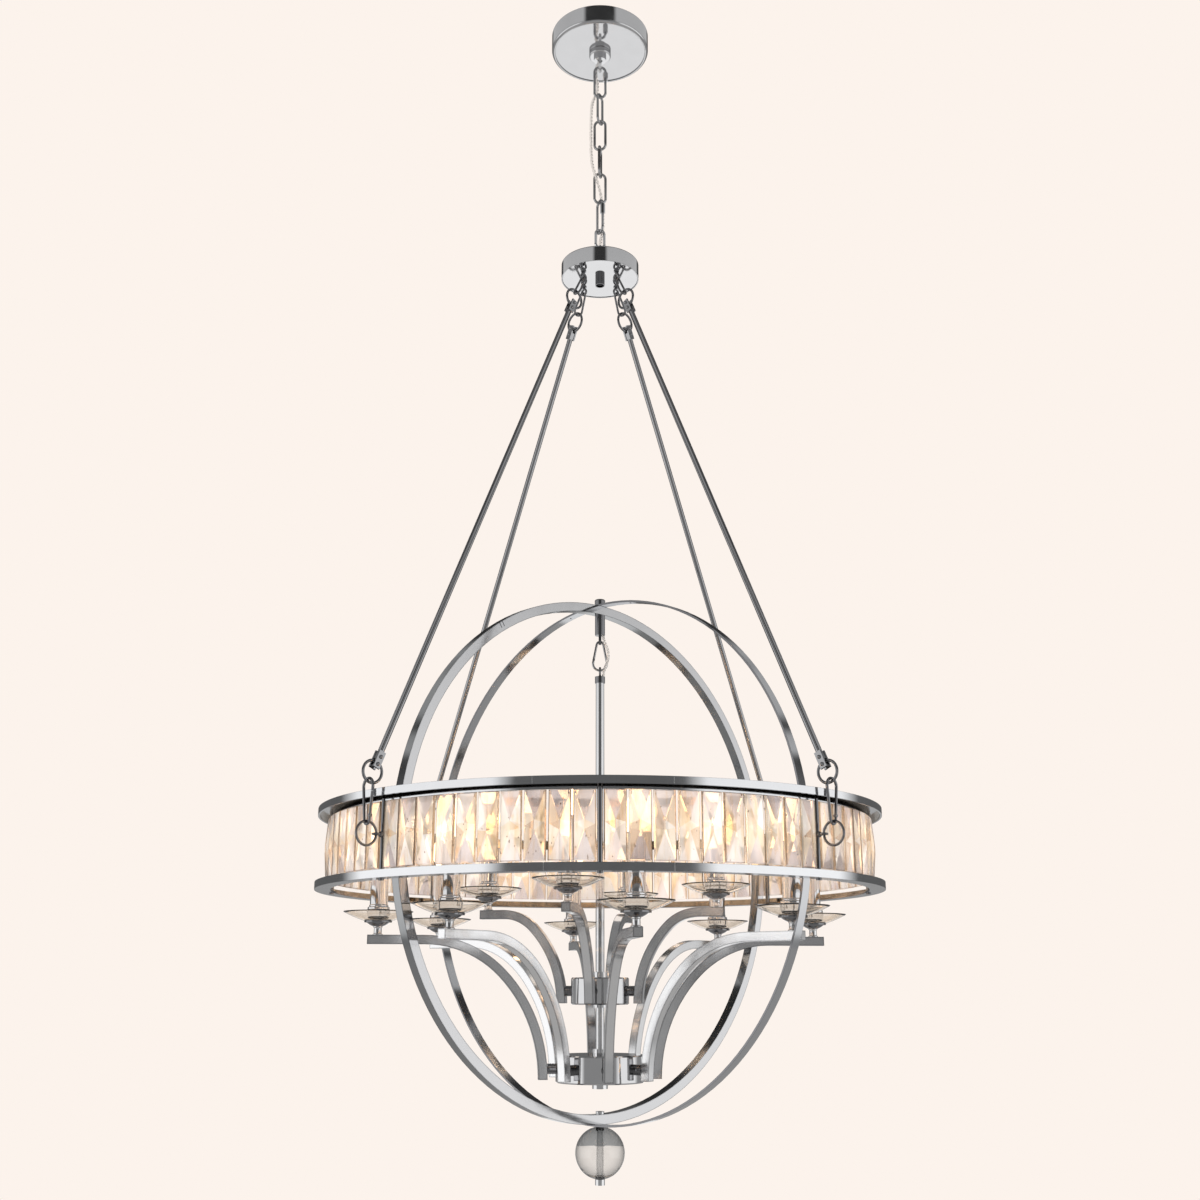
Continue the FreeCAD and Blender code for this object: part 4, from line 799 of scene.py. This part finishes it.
# Closed outlines, as radius and height over the arm's end.
POST = (
    (3.0, 0.0), (8.2, 0.0), (8.2, 1.4), (6.6, 2.2), (6.4, 11.0), (7.6, 12.2), (7.6, 13.6),
    (3.0, 13.6),
)
CUP = (
    (3.0, 21.4), (5.9, 21.4), (5.9, 25.4), (12.6, 25.4), (16.6, 26.6), (18.8, 29.6),
    (19.4, 33.0), (19.4, 38.2), (19.9, 39.0), (19.9, 40.4), (18.4, 41.2), (18.4, 44.4),
    (17.8, 45.2), (3.0, 45.2),
)
SLEEVE = (
    (14.0, 45.6), (15.9, 45.6), (15.9, 48.0), (15.0, 49.0), (15.0, 133.6), (15.4, 134.2),
    (15.4, 135.3), (14.7, 135.6), (14.0, 135.2),
)
HOLDER = (
    (3.0, 45.4), (6.0, 45.4), (6.0, 76.0), (13.2, 83.0), (13.2, 120.0), (13.6, 121.0),
    (13.6, 134.4), (12.4, 134.4), (12.0, 133.0), (7.4, 133.0), (7.4, 108.4), (3.0, 108.4),
)

# A pan is a bowl between its foot and its rim; the belly is an arc about a point over it.
PAN_FOOT = [(7.7, 13.6), (9.0, 14.0)]
PAN_RIM = [(22.9, 20.2), (22.9, 21.4), (21.6, 21.4), (7.0, 21.4), (3.0, 21.4), (3.0, 13.6)]
BELLY_CENTRE = 40.0
BELLY_RADIUS = 27.4
BELLY_ANGLES = (-66.0, -32.5)
BELLY_POINTS = 10
BELLY_START = 9.5


def pan_outline():
    """The outline of a pan, whose darker chrome is painted shade."""
    start, end = BELLY_ANGLES
    belly = []
    for step in range(BELLY_POINTS):
        turn = math.radians(start + (end - start) * step / (BELLY_POINTS - 1))
        radius = BELLY_RADIUS * math.cos(turn)
        if radius > BELLY_START:
            belly.append((radius, BELLY_CENTRE + BELLY_RADIUS * math.sin(turn)))
    return PAN_FOOT + belly + PAN_RIM


def at_candles(profile, name, materials, cut=0.35):
    """Stands one turned profile on every arm, as one object."""
    work = bmesh.new()
    for candle in CANDLES:
        add_lathe(work, rounded(profile, cut), CANDLE_SEGMENTS, standing(*candle))
    piece = finish_piece(work, name, materials, CANDLE_SHARP)
    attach(piece, "cluster")
    return piece


def make_candles(bright, dark):
    """Posts, pans in darker chrome that is painted shade, glass dishes, cups, sleeves, lamp
    holders and lit bulbs.
    """
    posts = at_candles(POST, "candle_posts", [bright])
    # The pans take the darker chrome: painted shade.
    pans = at_candles(pan_outline(), "candle_pans", [dark], cut=0.2)
    cups = at_candles(CUP, "candle_cups_turned", [bright], cut=0.6)
    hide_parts("candle_cups")
    sleeves = at_candles(SLEEVE, "candle_sleeves_turned", [bright], cut=0.4)
    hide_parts("candle_sleeves")
    holders = at_candles(HOLDER, "lamp_holders_turned", [ceramic()])
    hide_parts("lamp_holders")
    make_dishes()
    make_bulbs(bright)


DISH_BORE = 6.5
DISH_INNER = 19.0
DISH_OUTER = 57.4
DISH_UNDER = 21.8
DISH_OVER = 23.4
DISH_RISE = 15.0
DISH_THINNING = 0.2
DISH_INSET = 0.4
DISH_CURVE = 1.3
DISH_STEPS = 12
DISH_SEGMENTS = 72
DISH_SHARP = 50
DISH_RIM = [(57.9, 37.2), (58.0, 37.8), (57.6, 38.3)]


def make_dishes():
    """Shallow glass dishes on the pans, with a rounded rim."""
    under = []
    over = []
    for step in range(DISH_STEPS + 1):
        share = step / DISH_STEPS
        radius = DISH_INNER + (DISH_OUTER - DISH_INNER) * share
        rise = DISH_RISE * share ** DISH_CURVE
        under.append((radius, DISH_UNDER + rise))
        over.append((radius - DISH_INSET, DISH_OVER - DISH_THINNING * share + rise))
    profile = [(DISH_BORE, DISH_UNDER)] + under + DISH_RIM + over[::-1]
    profile.append((DISH_BORE, DISH_OVER))
    work = bmesh.new()
    for candle in CANDLES:
        add_lathe(work, profile, DISH_SEGMENTS, standing(*candle))
    # The dishes' warm grey outline is painted shade.
    glass = clear_glass(
        "dish_glass", (0.995, 0.985, 0.965), 0.006, ior=1.2, edge=(0.86, 0.80, 0.72)
    )
    dishes = finish_piece(work, "glass_dishes_turned", [glass], DISH_SHARP)
    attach(dishes, "cluster")
    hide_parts("glass_dishes")


# A bulb swells from its neck up to its belly, at a share of its height, and is then drawn out to
# a tip, where it keeps a small radius. The powers shape the two curves.
BULB_LOW = 137.0
BULB_LONG = 62.5
BULB_TIP = 199.8
BULB_NECK = 9.0
BULB_BELLY = 17.4
BELLY_SHARE = 0.33
SWELL_POWER = 0.9
DRAW_POWERS = (1.9, 0.92)
TIP_RADIUS = 0.9
BULB_SMALLEST = 0.8
BULB_STEPS = 24
BULB_SEGMENTS = 32
BASE_SHARP = 40
BULB_BASE = (
    (0.0, 118.2), (3.0, 118.2), (6.2, 120.4), (6.7, 122.0), (6.3, 123.4), (6.7, 124.8),
    (6.3, 126.2), (6.7, 127.6), (6.3, 129.0), (6.7, 130.4), (6.7, 134.0), (8.9, 136.0),
    (8.9, 138.6), (0.0, 138.6),
)


def bulb_radius(share):
    """A bulb's radius at a share of its height."""
    if share < BELLY_SHARE:
        swell = math.sin(share / BELLY_SHARE * math.pi / 2) ** SWELL_POWER
        return BULB_NECK + (BULB_BELLY - BULB_NECK) * swell
    draw, narrow = DRAW_POWERS
    drawn = (1 - ((share - BELLY_SHARE) / (1 - BELLY_SHARE)) ** draw) ** narrow
    return BULB_BELLY * drawn + TIP_RADIUS * share


def make_bulbs(bright):
    """Candle bulbs with a drawn tip, and their ribbed metal bases."""
    profile = [(0.0, BULB_LOW)]
    for step in range(BULB_STEPS + 1):
        share = step / BULB_STEPS
        radius = max(bulb_radius(share), BULB_SMALLEST)
        profile.append((radius, BULB_LOW + BULB_LONG * share))
    profile.append((0.0, BULB_TIP))
    work = bmesh.new()
    bases = bmesh.new()
    for candle in CANDLES:
        add_lathe(work, profile, BULB_SEGMENTS, standing(*candle), closed=False)
        add_lathe(bases, BULB_BASE, BULB_SEGMENTS, standing(*candle), closed=False)
    bulbs = finish_piece(work, "candle_bulbs", [lit_glass()])
    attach(bulbs, "cluster")
    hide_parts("bulbs")
    bottoms = finish_piece(bases, "bulb_bases", [bright], BASE_SHARP)
    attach(bottoms, "cluster")


# Cords

POWER_CORD = (
    (0, 0, -43), (0, 0, -57), (-8, 4.3, -69.3), (-9, 9.4, -84), (-4.4, 9.6, -105),
    (-6.5, 8.6, -127), (-15, 6, -147), (-17.4, 0.8, -172), (-18, -0.6, -206),
    (-18.2, 0.4, -242), (-17.6, -1, -276), (-15, -6, -304), (-8.8, -8.2, -328),
    (-0.6, 0.6, -351), (3.4, 7.4, -373), (5.4, 7.6, -398), (6.4, 7.2, -424), (5, 8.2, -446),
    (1.5, 4.6, -460), (0, 0, -474), (0, 0, -487),
)
CENTRE_CORD = (
    (5.2, -2.5, -1260), (5.3, -2.6, -1271.5), (9.5, -6.9, -1283), (15.4, -7.8, -1298),
    (14.4, -7.6, -1314), (8.2, -6.6, -1328.5), (5.4, -2.7, -1340.5), (5.2, -2.5, -1352),
)

# Metres: a jacket's radius and sides, then a strand's radius, offset and pitch.
POWER_GAUGE = (0.003, 20, 0.00095, 0.00125, 0.016)
CENTRE_GAUGE = (0.0023, 16, 0.0007, 0.00095, 0.012)
STRAND_SIDES = 8
ROUTE_STEPS = 10

# Lengths of the power cord: the heights between which each lies, the body above and the one
# below, and the heights between which it passes from the first body's motion to the second's.
CORD_LENGTHS = (
    ("power_cord_1", -0.112, None, "ceiling", "link_upper", -0.066, -0.089),
    ("power_cord_2", -0.26, -0.112, "link_upper", "chain_run", -0.130, -0.156),
    ("power_cord_3", -0.417, -0.26, "chain_run", "link_lower", -0.371, -0.398),
    ("power_cord_4", None, -0.417, "link_lower", "hub", -0.438, -0.463),
)


def smooth_route(name, places):
    """Points along the NURBS line that a route's places control."""
    data = bpy.data.curves.new(name, "CURVE")
    data.dimensions = "3D"
    data.resolution_u = ROUTE_STEPS
    spline = data.splines.new("NURBS")
    spline.points.add(len(places) - 1)
    for point, place in zip(spline.points, places):
        point.co = (*(Vector(place) * MM), 1)
    spline.order_u = 3
    spline.use_endpoint_u = True
    holder = bpy.data.objects.new(name, data)
    bpy.context.scene.collection.objects.link(holder)
    graph = bpy.context.evaluated_depsgraph_get()
    mesh = bpy.data.meshes.new_from_object(holder.evaluated_get(graph))
    line = [vertex.co.copy() for vertex in mesh.vertices]
    bpy.data.meshes.remove(mesh)
    bpy.data.objects.remove(holder)
    bpy.data.curves.remove(data)
    return line


def carried_frames(line):
    """A side direction for every point of a line, carried along without twist."""
    frames = []
    side = Vector((1, 0, 0))
    for place, point in enumerate(line):
        before = line[max(place - 1, 0)]
        after = line[min(place + 1, len(line) - 1)]
        heading = (after - before).normalized()
        side = (side - heading * side.dot(heading)).normalized()
        frames.append((point, side, heading.cross(side)))
    return frames


def add_tube(work, frames, radius, sides, offset=0.0, pitch=0.0, start=0.0, material=0):
    """A tube along a line, or a strand that winds round it at an offset."""
    rings = []
    travelled = 0.0
    last = frames[0][0]
    for point, side, other in frames:
        travelled += (point - last).length
        last = point
        wind = start + (FULL_TURN * travelled / pitch if pitch else 0.0)
        centre = point + (side * math.cos(wind) + other * math.sin(wind)) * offset
        ring = []
        for step in range(sides):
            turn = FULL_TURN * step / sides
            out = side * math.cos(turn) + other * math.sin(turn)
            ring.append(work.verts.new(centre + out * radius))
        rings.append(ring)
    for low, high in zip(rings, rings[1:]):
        for step in range(sides):
            after = (step + 1) % sides
            face = work.faces.new((low[step], low[after], high[after], high[step]))
            face.material_index = material
            face.smooth = True
    for ring in (rings[0], rings[-1]):
        cap = work.faces.new(ring)
        cap.material_index = material


def cord(name, places, gauge):
    """A jacket with two strands that wind round each other inside it."""
    radius, sides, strand, offset, pitch = gauge
    frames = carried_frames(smooth_route(name, places))
    work = bmesh.new()
    add_tube(work, frames, radius, sides)
    for start in (0.0, math.pi):
        add_tube(work, frames, strand, STRAND_SIDES, offset, pitch, start, material=1)
    return work


def between(work, low, high):
    """Keeps the part of a mesh between two heights."""
    copy = work.copy()
    for height, normal in ((low, (0, 0, -1)), (high, (0, 0, 1))):
        if height is not None:
            geometry = list(copy.verts) + list(copy.edges) + list(copy.faces)
            bmesh.ops.bisect_plane(
                copy, geom=geometry, plane_co=(0, 0, height), plane_no=normal, clear_outer=True
            )
    return copy


def cord_materials():
    """A clear jacket and the silvery strands that show inside it."""
    jacket = clear_glass("cord_jacket", (0.985, 0.985, 0.98), 0.03, haze_scale=160, ior=1.25)
    return [jacket, chrome("cord_strand", (0.90, 0.90, 0.90), (0.16, 0.28), mark_scale=1600)]


def make_cords():
    """The power cord in four lengths, and the centre cord."""
    materials = cord_materials()
    whole = cord("power_route", POWER_CORD, POWER_GAUGE)
    for name, low, high, above, below, start, end in CORD_LENGTHS:
        piece = finish_piece(between(whole, low, high), name, materials)
        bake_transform(piece)
        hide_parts("power_cord")
    whole.free()
    work = cord("centre_route", CENTRE_CORD, CENTRE_GAUGE)
    piece = finish_piece(work, "centre_cord_jacket", materials)
    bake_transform(piece)
    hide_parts("centre_cord")


# Small trim

# Butt seams of the bands: azimuth, height of the middle and height of the seam.
BAND_RADIUS = 482.5
BAND_SEAMS = (
    (-11.5, -1595.7, 11.0), (12.6, -1595.7, 11.0), (-9.4, -1717.0, 11.4), (12.5, -1717.0, 11.4)
)
SEAM_DEEP = 0.5
SEAM_WIDE = 0.9

HOOP_CENTRE = -1655.0
TUBE_AZIMUTH = -45
TUBE_CIRCLE = 436.5
TUBE_MARK_RISES = (56.0, 56.9)
TUBE_MARK = (9.6, 17.4, 1.3)

STRIP_CIRCLE = 441.7
RIVET_PLACES = ((45, 80), (-135, -80), (45, -80), (-135, 80))
RIVET = ((0, 0.9), (1.2, 0.7), (1.9, 0.0), (1.9, -0.6), (0, -0.6))
RIVET_SEGMENTS = 20


def add_block(work, placement, size):
    """A box of a length, width and height about a local point."""
    shape = Matrix.Diagonal((*size, 1))
    bmesh.ops.create_cube(work, size=1.0, matrix=placement @ shape)


def on_hoop(azimuth, rise, radius):
    """Placement on a hoop at an angle above its centre: X outwards, Y across, Z along."""
    turn = Matrix.Rotation(math.radians(-rise), 4, "Y")
    return standing(azimuth, 0, HOOP_CENTRE) @ turn @ Matrix.Translation((radius, 0, 0))


def make_trim():
    """Butt seams of the two bands, two marks on the tube hoop and the strip hoop's rivets."""
    work = bmesh.new()
    for azimuth, height, tall in BAND_SEAMS:
        for turn in (0, 180):
            spot = standing(azimuth + turn, BAND_RADIUS, height)
            add_block(work, spot, (SEAM_DEEP, SEAM_WIDE, tall))
    seam_plate = chrome("seam_plate", (0.95, 0.95, 0.96), (0.2, 0.3))
    seams = finish_piece(work, "band_seams", [seam_plate])
    marks = bmesh.new()
    for rise in TUBE_MARK_RISES:
        add_block(marks, on_hoop(TUBE_AZIMUTH, rise, TUBE_CIRCLE), TUBE_MARK)
    joint_plate = chrome("joint_plate", (0.16, 0.16, 0.17), (0.1, 0.2))
    joints = finish_piece(marks, "tube_joints", [joint_plate])
    rivets = bmesh.new()
    outwards = Matrix.Rotation(math.radians(-90), 4, "Y")
    for azimuth, rise in RIVET_PLACES:
        spot = on_hoop(azimuth, rise, STRIP_CIRCLE) @ outwards
        add_lathe(rivets, RIVET, RIVET_SEGMENTS, spot, closed=False)
    rivet_plate = chrome("rivet_plate", (0.3, 0.3, 0.31), (0.1, 0.2))
    heads = finish_piece(rivets, "hoop_rivets", [rivet_plate])
    for piece in (seams, joints, heads):
        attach(piece, "ring_frame")


# Plates of the CAD nodes

ACROSS_TUBE = (0.707, -0.707, 0)
ACROSS_STRIP = (0.707, 0.707, 0)
UPWARDS = (0, 0, 1)

# All parts are one chrome; the darker copies for rings, links, pans, rods and hoops stand in for
# how little light they mirror: painted shade.
bright = chrome("bright_plate", (0.82, 0.82, 0.83))
dark = chrome("shaded_chrome_plate", (0.28, 0.28, 0.29), (0.03, 0.06))
dress(bright, *nodes)
dress(dark, "hub_eyes", "top_snap_links", "top_rings", "hub_nut", "pole_knob", "pole_coupler")
dress(dark, "lower_rings", "snap_links", "eye_rings", "eye_bolts", "ring_posts", "arm_spacers")
dress(dark, "snap_gate_1", "snap_gate_2", "snap_gate_3", "snap_gate_4", "stem_loop")

# Canopy and hub drums: the dark lines along sharp edges are painted shade.
drum_plate = chrome("drum_plate", (0.72, 0.72, 0.73), edge=0.0014)
dress(drum_plate, "canopy", "hub_body", "cluster_hub_upper", "cluster_hub_lower")

# Chain links: darker chrome, painted shade.
link_plate = chrome("link_plate", (0.57, 0.57, 0.58), (0.03, 0.06))
dress(link_plate, "chain_link_1", "chain_link_2", "chain_link_3", "chain_link_4")
dress(link_plate, "quick_link_upper", "quick_link_lower", "centre_link", "centre_gate")

# Rods: darker chrome, painted shade.
rod_plate = chrome("rod_plate", (0.44, 0.44, 0.45), (0.03, 0.06))
dress(rod_plate, "rod_1", "rod_2", "rod_3", "rod_4")

# Tube hoop: darker chrome, painted shade, with faces across the hoop lighter, a painted highlight
# by facing; its dark edge lines are painted shade.
tube_plate = chrome(
    "tube_plate", (0.40, 0.41, 0.42), (0.06, 0.12),
    axis=ACROSS_TUBE, second=(0.64, 0.64, 0.65), edge=0.0026,
)
dress(tube_plate, "hoop_tube")

# Strip hoop: faces across the hoop darker, painted shade by facing; its dark edge lines are
# painted shade.
strip_plate = chrome(
    "strip_plate", (0.62, 0.63, 0.65), (0.05, 0.1),
    axis=ACROSS_STRIP, second=(0.25, 0.25, 0.26), edge=0.001,
)
dress(strip_plate, "hoop_strip")

# Bands: upward and downward faces darker, painted shade by facing; inner faces warm brown, a
# painted reflection of the crystals and bulbs; dark edge lines are painted shade.
band_plate = chrome(
    "band_plate", (0.86, 0.87, 0.89), (0.05, 0.10),
    axis=UPWARDS, second=(0.28, 0.28, 0.29), inner=(0.40, 0.33, 0.25), edge=0.001,
)
dress(band_plate, "band_upper", "band_lower")

# Arms: the dark lines along sharp edges are painted shade.
arm_plate = chrome("arm_plate", (0.96, 0.96, 0.97), (0.10, 0.20), edge=0.003)
dress(arm_plate, "arms_lower", "arms_upper")

# The finial ball's dark outline is painted shade.
ball_glass = clear_glass(
    "ball_glass", (0.79, 0.80, 0.80), 0.008, ior=1.5, edge=(0.10, 0.105, 0.11)
)
dress(ball_glass, "finial_ball")


# Assembly of the looks

make_camera()
make_world()
make_lamps()
make_floor()
make_crystals()
make_candles(bright, dark)
make_cords()
make_trim()

bpy.context.scene.view_settings.view_transform = "Standard"
